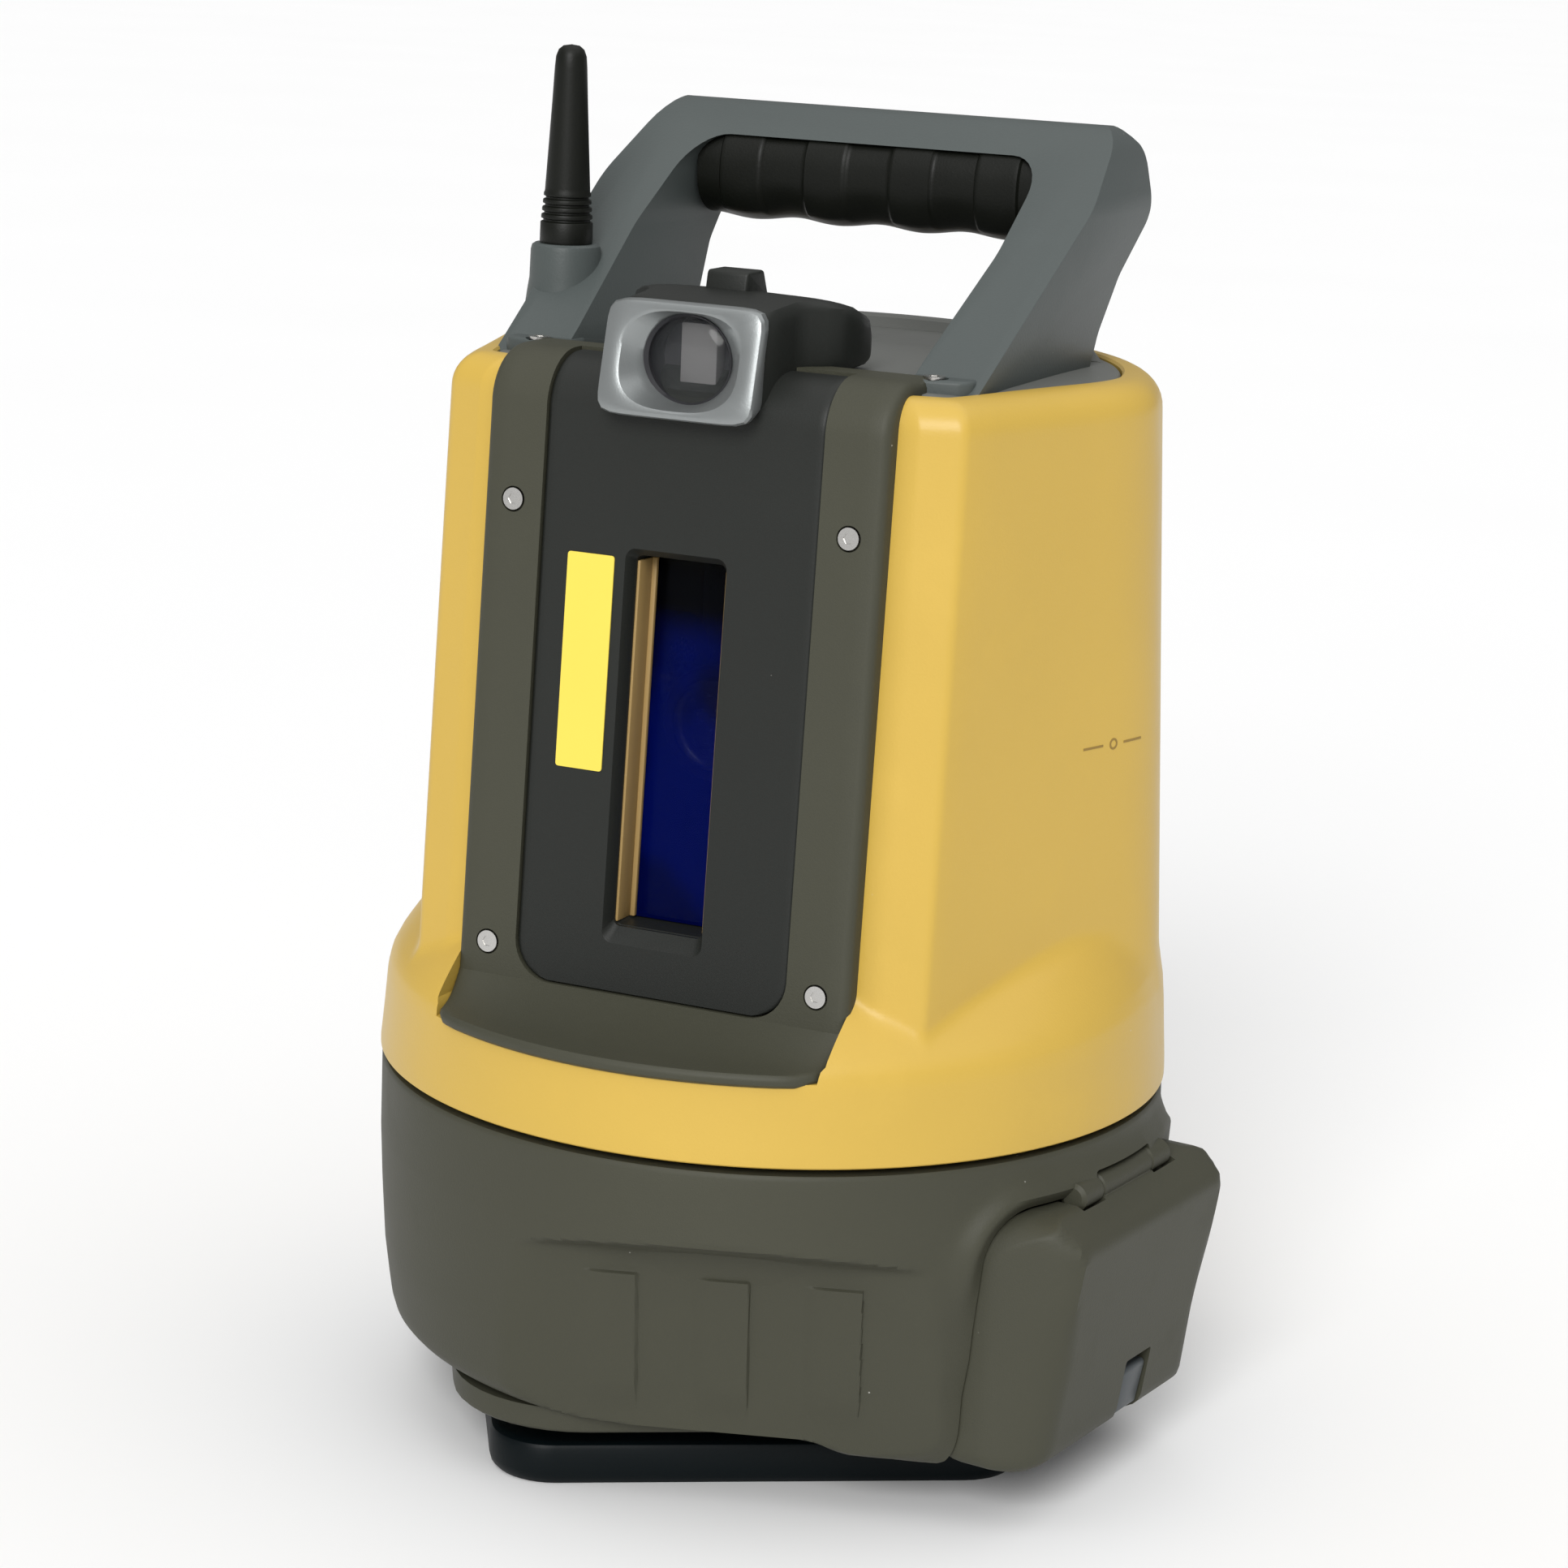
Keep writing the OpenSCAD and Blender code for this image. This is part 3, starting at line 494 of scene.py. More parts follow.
def make_finishes(look):
    """Every finish of the object, by the name of its slot."""
    made = {
        "yellow_cover": paint("Yellow paint", look.yellow, 0.40, 1500, 0.00012, 0.10, 0.12),
        "olive_cover": paint("Olive paint", look.olive, 0.55, 1900, 0.00016, 0.22),
        "black_foot": paint("Black anodised", look.foot, 0.45, 1500, 0.00006, 0.3, shine=0.14),
        "black_panel": paint("Black panel", look.panel, 0.48, 2200, 0.0001, 0.16),
        "grey_handle": paint("Grey handle", look.handle, 0.46, 1500, 0.00012, 0.3),
        "grey_trim": paint("Silver trim", look.trim, 0.34, 2600, 0.00006, 0.2, 0.0, 0.6, 0.5),
        "top_plate": paint("Top plate", look.plate, 0.5, 1800, 0.00012, 0.25),
        "rubber": paint("Black rubber", look.rubber, 0.46, 1600, 0.0001, 0.35, shine=0.24),
        "tan_liner": paint("Tan liner", (0.34, 0.225, 0.085), 0.42, 900, 0.00005, 0.2),
        "label_yellow": paint("Plain label", (0.80, 0.63, 0.085), 0.42, 1200, 0.00002, 0.12, 0.2),
        "motor_black": paint("Motor casing", (0.03, 0.03, 0.033), 0.45, 1200, 0.0001, 0.3),
        "index_paint": paint("Index mark", (0.27, 0.17, 0.035), 0.5, 1200, 0.00005, 0.3),
        "latch_grey": paint("Latch", (0.062, 0.071, 0.076), 0.42, 1500, 0.0001, 0.35),
        "board": paint("Board", (0.02, 0.1, 0.05), 0.45, 700, 0.0002, 0.3),
        "steel": metal("Ground steel", (0.56, 0.55, 0.53), 0.28),
        "aluminium": metal("Machined aluminium", (0.5, 0.5, 0.49), 0.36, (1, 1, 14)),
        "brass": metal("Machined brass", (0.62, 0.46, 0.2), 0.32),
        "clear_glass": clear("Coated glass", (0.06, 0.065, 0.07), 0.12),
        "prism_grey": paint("Prism glass", (0.17, 0.165, 0.165), 0.12, 300, 0.00002, 0.5, 0.6),
        "lens_glass": clear("Objective glass", (0.03, 0.05, 0.16), 0.8),
        "blue_glass": blue_filter(),
        "bright_ring": metal("Bright ring", (0.75, 0.8, 0.9), 0.25),
        "seam": paint("Dark seam", (0.006, 0.006, 0.005), 0.7, 900, 0.00005, 0.0),
    }
    lamp = Finish("Status light")
    ripple = lamp.noise(900, 2)
    lamp.set(Base_Color=lamp.blend(ripple, (0.08, 0.5, 0.14, 1), (0.12, 0.62, 0.2, 1)), Roughness=0.2,
             Emission_Color=(0.1, 0.8, 0.2, 1), Emission_Strength=0.6)
    made["green_light"] = lamp.relief(ripple, 0.2, 0.0001).material
    return made


FINISHES = {}           # every material by the name of its slot, filled by main


class SCANNER_PG_look(bpy.types.PropertyGroup):
    """Sizes and colours of the scanner's covers."""

    yellow: FloatVectorProperty(name="Head cover", description="Colour of the head's painted cover",
                                subtype="COLOR", size=3, min=0, max=1, default=(0.56, 0.37, 0.066))
    olive: FloatVectorProperty(name="Base cover", description="Colour of the base, door and front frame",
                               subtype="COLOR", size=3, min=0, max=1, default=(0.049, 0.049, 0.033))
    panel: FloatVectorProperty(name="Front panel", description="Colour of the panel round the window",
                               subtype="COLOR", size=3, min=0, max=1, default=(0.013, 0.0145, 0.0125))
    handle: FloatVectorProperty(name="Handle", description="Colour of the carrying handle",
                                subtype="COLOR", size=3, min=0, max=1, default=(0.068, 0.08, 0.078))
    plate: FloatVectorProperty(name="Top plate", description="Colour of the plate under the handle",
                               subtype="COLOR", size=3, min=0, max=1, default=(0.13, 0.134, 0.125))
    trim: FloatVectorProperty(name="Guide light rim", description="Colour of the rim round the guide light",
                              subtype="COLOR", size=3, min=0, max=1, default=(0.26, 0.275, 0.275))
    rubber: FloatVectorProperty(name="Rubber", description="Colour of the grip, the antenna and the cap",
                                subtype="COLOR", size=3, min=0, max=1, default=(0.004, 0.0047, 0.003))
    foot: FloatVectorProperty(name="Foot", description="Colour of the tripod seat",
                              subtype="COLOR", size=3, min=0, max=1, default=(0.0016, 0.004, 0.005))
    rib_height: FloatProperty(name="Rib height", description="How far the recess's ribs stand out",
                              subtype="DISTANCE", default=0.0009, min=0.0, max=0.003)
    pad_height: FloatProperty(name="Pad height", description="How far the grip's finger pads stand out",
                              subtype="DISTANCE", default=0.0006, min=0.0, max=0.002)


# ---------------------------------------------------------------- head covers

FRAME_HALF = 49.6       # half width of the front frame
CREASE_X = 65.0         # where the front strip turns into the side


def body_radius(azimuth, z):
    """Distance of the head's outer wall from the axis, at azimuths in degrees."""
    face = front_y(z)
    m = np.abs((azimuth + 180) % 360 - 180)

    def wall(out, normal):
        c = np.cos(np.radians(m - normal))
        return np.where(c > 0.2, out / np.maximum(c, 0.2), 400.0)

    strip = 0.3199 * FRAME_HALF - 0.9474 * (face + 3.3)
    side = 0.9527 * CREASE_X - 0.304 * (face + 8.5)
    r = soft_min(np.full_like(m, 91.2 - 0.0557 * (z - 132)), wall(side, 72.3), 5.0)
    r = soft_min(r, wall(strip, 18.66), 1.3)
    return np.minimum(r, wall(-(face + 5.0), 0.0))


def ring_radius(azimuth, z):
    """Outer radius of the ring under the head, whose shoulder climbs towards the back."""
    m = np.abs((azimuth + 180) % 360 - 180)
    lifted = 109 + (z - 109) / (1 + 0.9 * ease(m, 52, 112)) if z > 109 else np.full_like(m, z)
    heights = [90.5, 101, 109, 112, 114.5, 117, 119.5, 122, 126, 132, 142]
    radii = [95, 94.1, 93.5, 92.8, 91.3, 89.1, 86.6, 84.0, 79.0, 68.0, 40.0]
    return np.interp(lifted, heights, radii)


def head_azimuths():
    """Azimuths of the head cover's columns, closest together where its corners are."""
    fine = np.arange(44.5, 54.6, 0.35)
    shoulders = np.concatenate([np.arange(34, 44.4, 1.0), np.arange(55.5, 112, 1.5)])
    rest = np.arange(113, 181, 2.4)
    front = np.arange(0, 34, 2.0)
    half = np.concatenate([front, shoulders, fine, rest])
    half = np.unique(np.round(half, 4))
    return np.concatenate([-half[::-1][:-1], half])


def polar_ring(azimuths, radii, z):
    """Points round the axis at azimuths in degrees."""
    a = np.radians(azimuths)
    return np.stack([radii * np.sin(a), -radii * np.cos(a), np.full_like(a, z)], axis=1)


def make_head_cover():
    """Yellow cover: flat front strips, flat sides, round back and a flared ring at its foot."""
    az = head_azimuths()
    rings = [polar_ring(az, np.full_like(az, 90.0), 90.6), polar_ring(az, np.full_like(az, 94.4), 90.5),
             polar_ring(az, np.full_like(az, 94.9), 90.9), polar_ring(az, np.full_like(az, 94.9), 92.0)]
    levels = np.concatenate([[95, 98, 101, 104, 106.5, 108.5], np.arange(109.5, 136, 1.0),
                             np.arange(137, 145, 2.0), np.arange(148, 248, 6.0), [249.5]])
    for z in levels:
        outer = soft_max(body_radius(az, z), ring_radius(az, z), 2.6)
        rings.append(polar_ring(az, outer, z))
    for step in np.linspace(0, 90, 10):
        s = math.radians(step)
        inset = 8.0 * (1 - math.cos(s))
        rings.append(polar_ring(az, body_radius(az, 251) - inset, 251 + 8.0 * math.sin(s)))
    top = body_radius(az, 251)
    rings.append(polar_ring(az, top - 9.3, 259.0))
    rings.append(polar_ring(az, top - 9.8, 258.4))
    rings.append(polar_ring(az, top - 9.9, 250.0))
    for z in (246, 200, 150, 128, 118):
        rings.append(polar_ring(az, body_radius(az, z) - 3.0, z))
    rings.append(polar_ring(az, np.full_like(az, 90.0), 106.0))
    cover = lofted("head_cover", rings, loop=True)
    mouth = [(-49.25, 280), (-49.25, 113.4), (-48.6, 112.4), (-48.3, 109.7)]
    combined(cover, prism("opening", mouth + [(-x, z) for x, z in mouth[::-1]], "y", -120, -30))
    return placed(cover, "head", "yellow_cover", ["head_shell"], smooth=34)


def skin_path(low=118.0):
    """(y, z, outward y, outward z) up the head's face, round its brow and back along the top."""
    path = []
    for z in np.linspace(low, 248.6, 18):
        path.append((front_y(z), z, -1.0, TAN_LEAN))
    for a in np.linspace(172, 92, 11):
        c, s = math.cos(math.radians(a)), math.sin(math.radians(a))
        path.append((-47.5 + 13 * c, 249 + 13 * s, c, s))
    for y in (-46, -42, -37.2):
        path.append((y, 262.0, 0.0, 1.0))
    return path


def make_front_frame():
    """Olive frame with its sill swept out to a lip over the ring, and a rounded opening."""
    cross = [(-49.6, 4.6), (-49.6, 2.2), (-49.25, 1.15), (-48.5, 0.4), (-47.4, 0.0)]
    across = cross + [(x, 0.0) for x in np.linspace(-44, 44, 23)]
    across += [(-x, d) for x, d in cross[::-1]]
    top, bottom = [], []
    lip = [(93.0, 108.6, 1.4), (94.1, 108.9, 0.8), (94.8, 109.6, 0.3), (95.0, 110.5, 0.0), (94.8, 111.3, 0.0),
           (94.2, 111.9, 0.0)]

    def lip_point(x, drop, radius, z, trim):
        share = x / FRAME_HALF
        a = math.radians(31.9 * share)
        edge = ease(abs(share), 0.86, 1.0) * 2.6
        r = radius - edge - drop * 0.5
        return (r * math.sin(a) * (1 - 0.012 * trim), -r * math.cos(a), z - drop * 0.35)

    for radius, z, trim in lip:
        top.append([lip_point(x, d, radius, z, trim) for x, d in across])
        bottom.append([lip_point(x, d, radius - 4.5, 108.7, trim) for x, d in across])
    for s in np.linspace(0.12, 1.0, 9):
        z = 112.1 + 6.4 * s ** 1.9
        row, under = [], []
        for x, d in across:
            ax, ay, _ = lip_point(x, d, 94.2, 111.9, 0)
            fx, fy = x, front_y(118.5) + d
            row.append((ax + (fx - ax) * s, ay + (fy - ay) * s, z - d * 0.3 * (1 - s)))
            under.append((ax + (fx - ax) * s, ay + (fy - ay) * s + 4.5, max(108.7, z - 4.0)))
        top.append(row)
        bottom.append(under)
    for y, z, oy, oz in skin_path(120.0):
        top.append([(x, y - oy * d, z - oz * d) for x, d in across])
        bottom.append([(x, y - oy * 5.2, z - oz * 5.2) for x, d in across])
    body = slab("front_frame_cover", top, bottom)
    hole = rounded_outline([(-34.5, 300, 0), (-34.5, 118.6, 9.4), (34.5, 118.6, 9.4), (34.5, 300, 0)], 8)
    combined(body, prism("hole", hole, "y", -120, -44.6))
    upright = Matrix.Rotation(math.radians(-93.7), 4, "X")
    for x in (-SCREW_X, SCREW_X):
        for z in SCREW_ROWS:
            seat = turned("seat", [(0, -3), (2.95, -3), (2.95, 1.5), (0, 1.5)], 28)
            combined(body, moved(seat, Matrix.Translation(Vector((x, front_y(z), z)) * MM) @ upright))
    return placed(body, "head", "olive_cover", ["front_frame"], smooth=32)


def make_front_panel():
    """Black panel with round lower corners and a slot whose mouth is chamfered."""
    half, low, radius = 34.15, 119.0, 9.0
    rows_z = [low + radius * (1 - math.cos(math.radians(a))) for a in np.linspace(0, 90, 9)]
    top, bottom = [], []
    path = [(front_y(z), z, -1.0, TAN_LEAN) for z in rows_z[:-1]] + skin_path(low + radius)
    path = [p for p in path if p[0] < -44.4 or p[1] < 255]
    for i, (y, z, oy, oz) in enumerate(path):
        up = max(0.0, low + radius - z)
        wide = half - radius + math.sqrt(max(0.0, radius * radius - up * up)) if up > 0 else half
        edge = [(-wide, 1.0), (-wide + 0.3, 0.75), (-wide + 0.8, 0.6)]
        cols = edge + [(x, 0.6) for x in np.linspace(-wide + 2, wide - 2, 13)]
        cols += [(-x, d) for x, d in edge[::-1]]
        drop = 0.35 if i == 0 else 0.0
        top.append([(x, y - oy * (d + drop), z - oz * (d + drop)) for x, d in cols])
        bottom.append([(x, y - oy * 4.2, z - oz * 4.2) for x, d in cols])
    panel = slab("front_panel_cover", top, bottom)

    def window(grow, y, low_z, high_z, radius):
        return [(x, y, z) for x, z in rounded_box(11.3 + grow, (high_z - low_z) / 2 + grow, radius, 5,
                                                   (0, (high_z + low_z) / 2))]

    through = lofted("slot", [window(1.5, -71.5, 131.4, 218.9, 2.6), window(1.5, -67.6, 131.4, 218.9, 2.6),
                              window(0.0, -64.6, 133.6, 218.5, 1.6), window(0.0, -50.0, 133.6, 218.5, 1.6)])
    lean = Matrix(((1, 0, 0, 0), (0, 1, TAN_LEAN, (-0.065 * 133.0) * MM), (0, 0, 1, 0), (0, 0, 0, 1)))
    combined(panel, moved(through, lean))
    return placed(panel, "head", "black_panel", ["front_panel"], smooth=30)


def make_window():
    """Deep slot behind the panel: dark ends, tan side walls and a blue filter at the back."""
    def slot_ring(half, low_z, high_z, depth, radius=1.4):
        points = rounded_box(half, (high_z - low_z) / 2, radius, 4, (0, (high_z + low_z) / 2))
        return [(x, front_y(z) + depth, z) for x, z in points]

    walls = lofted("window_walls", [
        slot_ring(13.2, 131.0, 221.0, 4.4), slot_ring(11.35, 133.0, 218.6, 4.3),
        slot_ring(11.3, 133.6, 218.4, 5.0), slot_ring(11.3, 134.0, 217.4, 14.6),
        slot_ring(13.2, 131.0, 221.0, 14.6)], loop=True)
    placed(walls, "head", "black_panel", smooth=30)
    sides = []
    for side in (-1, 1):
        for inner, low, high in ((10.7, 4.3, 11.0), (9.6, 10.4, 11.6)):
            section = ((inner, low), (11.5, low), (11.5, high), (inner, high))
            sides.append(bevelled(lofted("wall", [[(side * x, front_y(z) + d, z) for x, d in section]
                                                  for z in (134.3, 217.0)]), 0.25, 2))
    placed(joined("window_side_walls", *sides), "head", "tan_liner", ["window_liner"], smooth=30)
    glass = lofted("window_filter", [slot_ring(11.2, 134.2, 217.3, depth) for depth in (11.6, 13.4)])
    placed(glass, "head", "blue_glass", ["window_glass"], smooth=30)


def make_label():
    """Plain adhesive plate beside the window."""
    outline = rounded_box(5.9, 24.5, 0.7, 4, (-21.2, 193.5))
    plate = lofted("blank_plate", [[(x, front_y(z) + d, z) for x, z in outline] for d in (0.75, 0.32)])
    return placed(plate, "head", "label_yellow", ["blank_label"], smooth=30)


def make_telescope():
    """Stepped barrel with its trunnion, and its objective in a bright ring."""
    def lathe(name, profile, sides=56):
        """Solid of revolution about the line of sight from (radius, y) points."""
        angles = circle_angles(sides)
        return lofted(name, [[(r * math.cos(a), y, TILT_Z + r * math.sin(a)) for a in angles]
                             for r, y in profile])

    barrel = lathe("barrel", [(0, -31.4), (9.4, -31.4), (10.9, -32.0), (10.9, -38.4), (11.3, -38.8),
                              (13.2, -38.8), (13.8, -38.2), (13.8, -31.0), (13.1, -30.4), (13.1, -27.4),
                              (13.8, -26.8), (13.8, -12.0), (12.6, -11.0), (12.6, 12.0), (13.8, 13.0),
                              (13.8, 24.6), (13.2, 25.4), (0, 25.4)])
    trunnion = turned("trunnion", [(0, -17.8), (10.2, -17.8), (10.8, -17.2), (10.8, 17.2), (10.2, 17.8),
                                   (0, 17.8)], 48)
    sideways = Matrix.Translation((0, 0, TILT_Z * MM)) @ Matrix.Rotation(math.radians(90), 4, "Y")
    combined(barrel, moved(trunnion, sideways), "UNION")
    placed(barrel, "telescope", "motor_black", ["telescope_barrel"], smooth=34)
    ring = lathe("objective_ring", [(9.6, -38.2), (9.7, -39.7), (10.0, -40.1), (10.5, -40.1), (10.8, -39.7),
                                    (10.8, -38.0), (9.6, -38.0)])
    placed(ring, "telescope", "bright_ring", smooth=34)
    dome = lathe("objective_dome", [(0, -34.0), (10.6, -34.0), (10.6, -35.6), (9.0, -36.4), (6.4, -37.1),
                                    (3.4, -37.5), (0, -37.6)])
    placed(dome, "telescope", "lens_glass", ["objective_lens"], smooth=50)


def make_index_marks():
    """Small moulded marks on both sides that show the height of the tilt axis."""
    marks = []
    middle = TILT_Z - 0.3

    def wall(side, y, z, d):
        """Point on the wall at this y, standing out by d."""
        r = float(body_radius(np.array([90.0]), z)[0])
        for _ in range(3):
            r = float(body_radius(np.array([90.0 + math.degrees(math.asin(y / r))]), z)[0])
        return side * (math.sqrt(r * r - y * y) + d), y, z

    line = ((-0.27, -0.5), (-0.27, 0.09), (0.27, 0.09), (0.27, -0.5))
    band = ((0.85, -0.5), (0.85, 0.09), (1.35, 0.09), (1.35, -0.5))
    for side in (-1, 1):
        for low, high in ((-10.4, -3.6), (3.6, 10.4)):
            marks.append(lofted("bar", [[wall(side, y, middle + h, d) for h, d in line]
                                        for y in np.linspace(low, high, 7)]))
        circle = circle_angles(24)
        marks.append(lofted("circle", [[wall(side, r * math.cos(a), middle + r * math.sin(a), d)
                                        for a in circle] for r, d in band], loop=True))
    placed(joined("index_marks", *marks), "head", "index_paint", smooth=30)


def make_top_plate():
    """Grey plate under the handle, with a low curved rim at its back."""
    az = head_azimuths()
    rings = []
    for inset, share, z in ((10.2, 1.0, 252.0), (10.2, 1.0, 257.9), (10.6, 1.0, 258.3), (14.0, 1.0, 258.7),
                            (14.0, 0.6, 259.4), (14.0, 0.2, 259.5)):
        ring = polar_ring(az, body_radius(az, 251) - inset, z)
        ring[:, 1] = np.maximum(ring[:, 1], -46.0 + 0.2 * inset)
        ring[:, :2] *= share
        rings.append(ring)
    plate = lofted("top_plate_cover", rings)
    arc = np.linspace(-56, 56, 40)
    profile = ((66.5, 0.0), (66.7, 3.3), (67.2, 3.9), (70.4, 3.9), (71.0, 3.4), (72.6, 0.9), (73.0, 0.0))
    rim = []
    for a in arc:
        u = toward(180 - a)
        fall = 1.0 - ease(abs(a), 50, 56)
        rim.append([(u[0] * r, u[1] * r, 258.0 + h * (0.25 + 0.75 * fall)) for r, h in profile])
    lip = lofted("rim", rim)
    return placed(joined("top_plate_cover", plate, lip), "head", "top_plate", ["top_cover"], smooth=34)


# ---------------------------------------------------------------- guide light and handle


def make_guide_light():
    """Silver rim with a funnel, the dark housing behind it, its lens, prism and sight block."""
    angles = circle_angles(64)

    def box_ring(hx, hz, power, y, lean):
        """Squared ring of half sizes hx and hz, whose y leans with height."""
        ring = []
        for a in angles:
            c, s, k = squared(a, power)
            x, z = hx * k * c, hz * k * s
            ring.append((x, y + lean * z, LIGHT_Z + z))
        return ring

    face, tip = -64.3, 0.23
    rim = lofted("light_rim", [
        box_ring(18.2, 11.6, 9, face + 6.0, 0.06), box_ring(19.2, 12.6, 9, face + 3.4, tip),
        box_ring(19.3, 12.7, 9, face + 1.2, tip), box_ring(18.9, 12.3, 9, face + 0.35, tip),
        box_ring(18.1, 11.6, 8, face, tip), box_ring(15.4, 11.1, 3.2, face, tip),
        box_ring(14.6, 10.7, 2.9, face + 0.3, tip), box_ring(12.4, 10.2, 2.2, face + 3.3, 0.12),
        box_ring(10.9, 10.0, 2.0, face + 4.9, 0.04), box_ring(10.6, 9.8, 2.0, face + 6.0, 0.0)], loop=True)
    placed(rim, "head", "grey_trim", ["light_bezel"], smooth=30)
    tube = lofted("light_tube", [box_ring(hx, hz, 2, face + depth, 0) for hx, hz, depth in (
        (10.9, 10.1, 4.6), (10.1, 9.5, 5.4), (10.0, 9.4, 13), (10.9, 10.1, 13))], loop=True)
    back = lofted("light_back", [box_ring(10.6, 9.8, 2, face + depth, 0) for depth in (13.0, 13.6)])
    placed(joined("light_tube", tube, back), "head", "motor_black")
    lens = lofted("light_lens_front", [box_ring(hx, hz, 2, face + depth, 0) for hx, hz, depth in (
        (10.2, 9.6, 6.8), (9.8, 9.2, 6.1), (5.5, 5.2, 5.5), (1.0, 1.0, 5.3))])
    placed(lens, "head", "clear_glass", ["light_lens"], smooth=60)
    block = [(-3.6, 255.6), (5.4, 255.6), (5.4, 271.2), (-3.6, 271.2)]
    prism_block = bevelled(prism("light_prism_block", block, "y", face + 8.2, face + 12.6), 0.4, 2)
    placed(prism_block, "head", "prism_grey", ["light_prism"], smooth=30)

    stations = []
    for y, half, low, high, power, crown in (
            (-59.6, 18.0, 252.2, 274.6, 9, 0.0), (-57.5, 18.9, 251.6, 275.6, 10, 0.2),
            (-52, 19.2, 252.5, 276.2, 10, 0.4), (-46.5, 19.4, 255.0, 276.6, 10, 0.6),
            (-43.6, 19.7, 258.4, 276.8, 10, 0.7), (-41.4, 21.0, 259.6, 276.8, 10, 0.7),
            (-38.6, 23.8, 259.6, 276.7, 9, 0.7), (-36.0, 26.0, 259.6, 276.4, 8, 0.6),
            (-33.0, 26.9, 259.6, 276.0, 8, 0.6), (-27.0, 27.2, 259.6, 275.0, 7, 0.5),
            (-21.5, 26.8, 259.6, 273.4, 6, 0.4), (-18.0, 25.6, 259.6, 271.0, 5, 0.2),
            (-15.8, 23.6, 259.6, 267.2, 4.5, 0.0), (-14.9, 21.0, 259.6, 262.0, 4.0, 0.0)):
        ring = []
        for a in angles:
            c, s, k = squared(a, power)
            x, t = half * k * c, k * s
            z = (low + high) / 2 + (high - low) / 2 * t + crown * max(0.0, t) * (1 - (x / half) ** 2)
            ring.append((x, y, z))
        stations.append(ring)
    shell = lofted("light_housing_cover", stations)
    bore = turned("bore", [(0, -4), (11.6, -4), (11.6, 6), (0, 6)], 40)
    forward = Matrix.Rotation(math.radians(-90), 4, "X")
    combined(shell, moved(bore, Matrix.Translation(Vector((0, -56.5, LIGHT_Z)) * MM) @ forward))
    placed(shell, "head", "black_panel", ["light_housing"], smooth=34)
    side = [(-42.5, 275.0), (-41.3, 281.2), (-40.6, 281.6), (-33.0, 281.6), (-30.0, 275.0)]
    block = prism("sight_block_cover", side, "x", -5.2, 5.2)
    bevelled(block, 0.7, 3)
    placed(block, "head", "black_panel", ["sight_block"], smooth=34)


def make_handle():
    """Raked carrying handle: two wide legs and a top bar, with the antenna's boss on one leg."""
    side = rounded_outline([(-43.5, 254.8, 0), (46.6, 315.0, 7), (58.6, 307.5, 6), (56.0, 292.0, 8),
                            (41.5, 279.5, 14), (32.5, 266.5, 10), (28.6, 254.8, 0)], 6)
    solid = prism("handle_cover", side, "x", -67, 67)
    outer = rounded_outline([(-59.8, 250, 0), (59.8, 250, 0), (61.6, 274, 20), (63.6, 296, 16),
                             (58.4, 315.4, 11), (-58.4, 315.4, 11), (-63.6, 296, 16), (-61.6, 274, 20)], 7)
    combined(solid, prism("outer", outer, "y", -60, 80), "INTERSECT")
    gap = rounded_outline([(-42.2, 240, 0), (42.2, 240, 0), (43.6, 264, 12), (46.6, 286, 20),
                           (45.4, 306.0, 9), (-45.4, 306.0, 9), (-46.6, 286, 20), (-43.6, 264, 12)], 8)
    combined(solid, prism("gap", gap, "y", -80, 90))
    bevelled(solid, 2.2, 4, 26)
    for side in (-1, 1):
        pad = rounded_outline([(side * 43.0, -42.4, 2), (side * 58.6, -38.6, 4),
                               (side * 58.6, -26.0, 2), (side * 43.0, -26.0, 2)], 5)
        foot = bevelled(prism("pad", pad, "z", 254.0, 261.7), 0.9, 3)
        combined(solid, foot, "UNION")
        seat = turned("seat", [(0, -0.9), (3.3, -0.9), (3.3, 2), (0, 2)], 28)
        spot = Vector((side * FOOT_SCREW[0], FOOT_SCREW[1], 261.7)) * MM
        combined(solid, moved(seat, Matrix.Translation(spot)))
    boss = turned("boss", [(9.8, 262.0), (9.4, 266.0), (8.9, 270.0), (8.45, 273.0), (8.3, 279.6), (8.0, 280.7),
                           (7.3, 281.2), (4.4, 281.2), (4.2, 280.4), (4.2, 274.0), (0.0, 274.0)], 56, ANTENNA)
    handle = joined("handle_cover", solid, boss)
    placed(handle, "head", "grey_handle", ["handle"], smooth=30)
    make_grip()
    make_antenna()


def make_grip():
    """Rubber sleeve on the handle's bar, waved under the fingers, with four raised pads in front."""
    bar_rows = []
    xs = np.linspace(-45.2, 45.2, 182)
    pads = (-33.5, -11.2, 11.2, 33.5)
    rise = bpy.context.scene.scanner.pad_height / MM
    for x in xs:
        pad = max(1.0 - ease(abs(x - p), 5.1, 5.7) for p in pads)
        swell = 0.55 * math.cos(2 * math.pi * x / 22.3)
        ring = []
        for a in np.linspace(0, 360, 56, endpoint=False):
            c, s, k = squared(math.radians(a), 2.5)
            front = 1.0 - ease(abs((a - 165 + 180) % 360 - 180), 62, 70)
            under = 1.0 - ease(abs((a - 262 + 180) % 360 - 180), 30, 75)
            grow = pad * rise * front - swell * under
            ring.append((x, 44.8 + (12.8 + grow) * k * c, 297.3 + (11.6 + grow) * k * s))
        bar_rows.append(ring)
    grip = lofted("grip_sleeve", bar_rows)
    placed(grip, "head", "rubber", ["grip"], smooth=40)


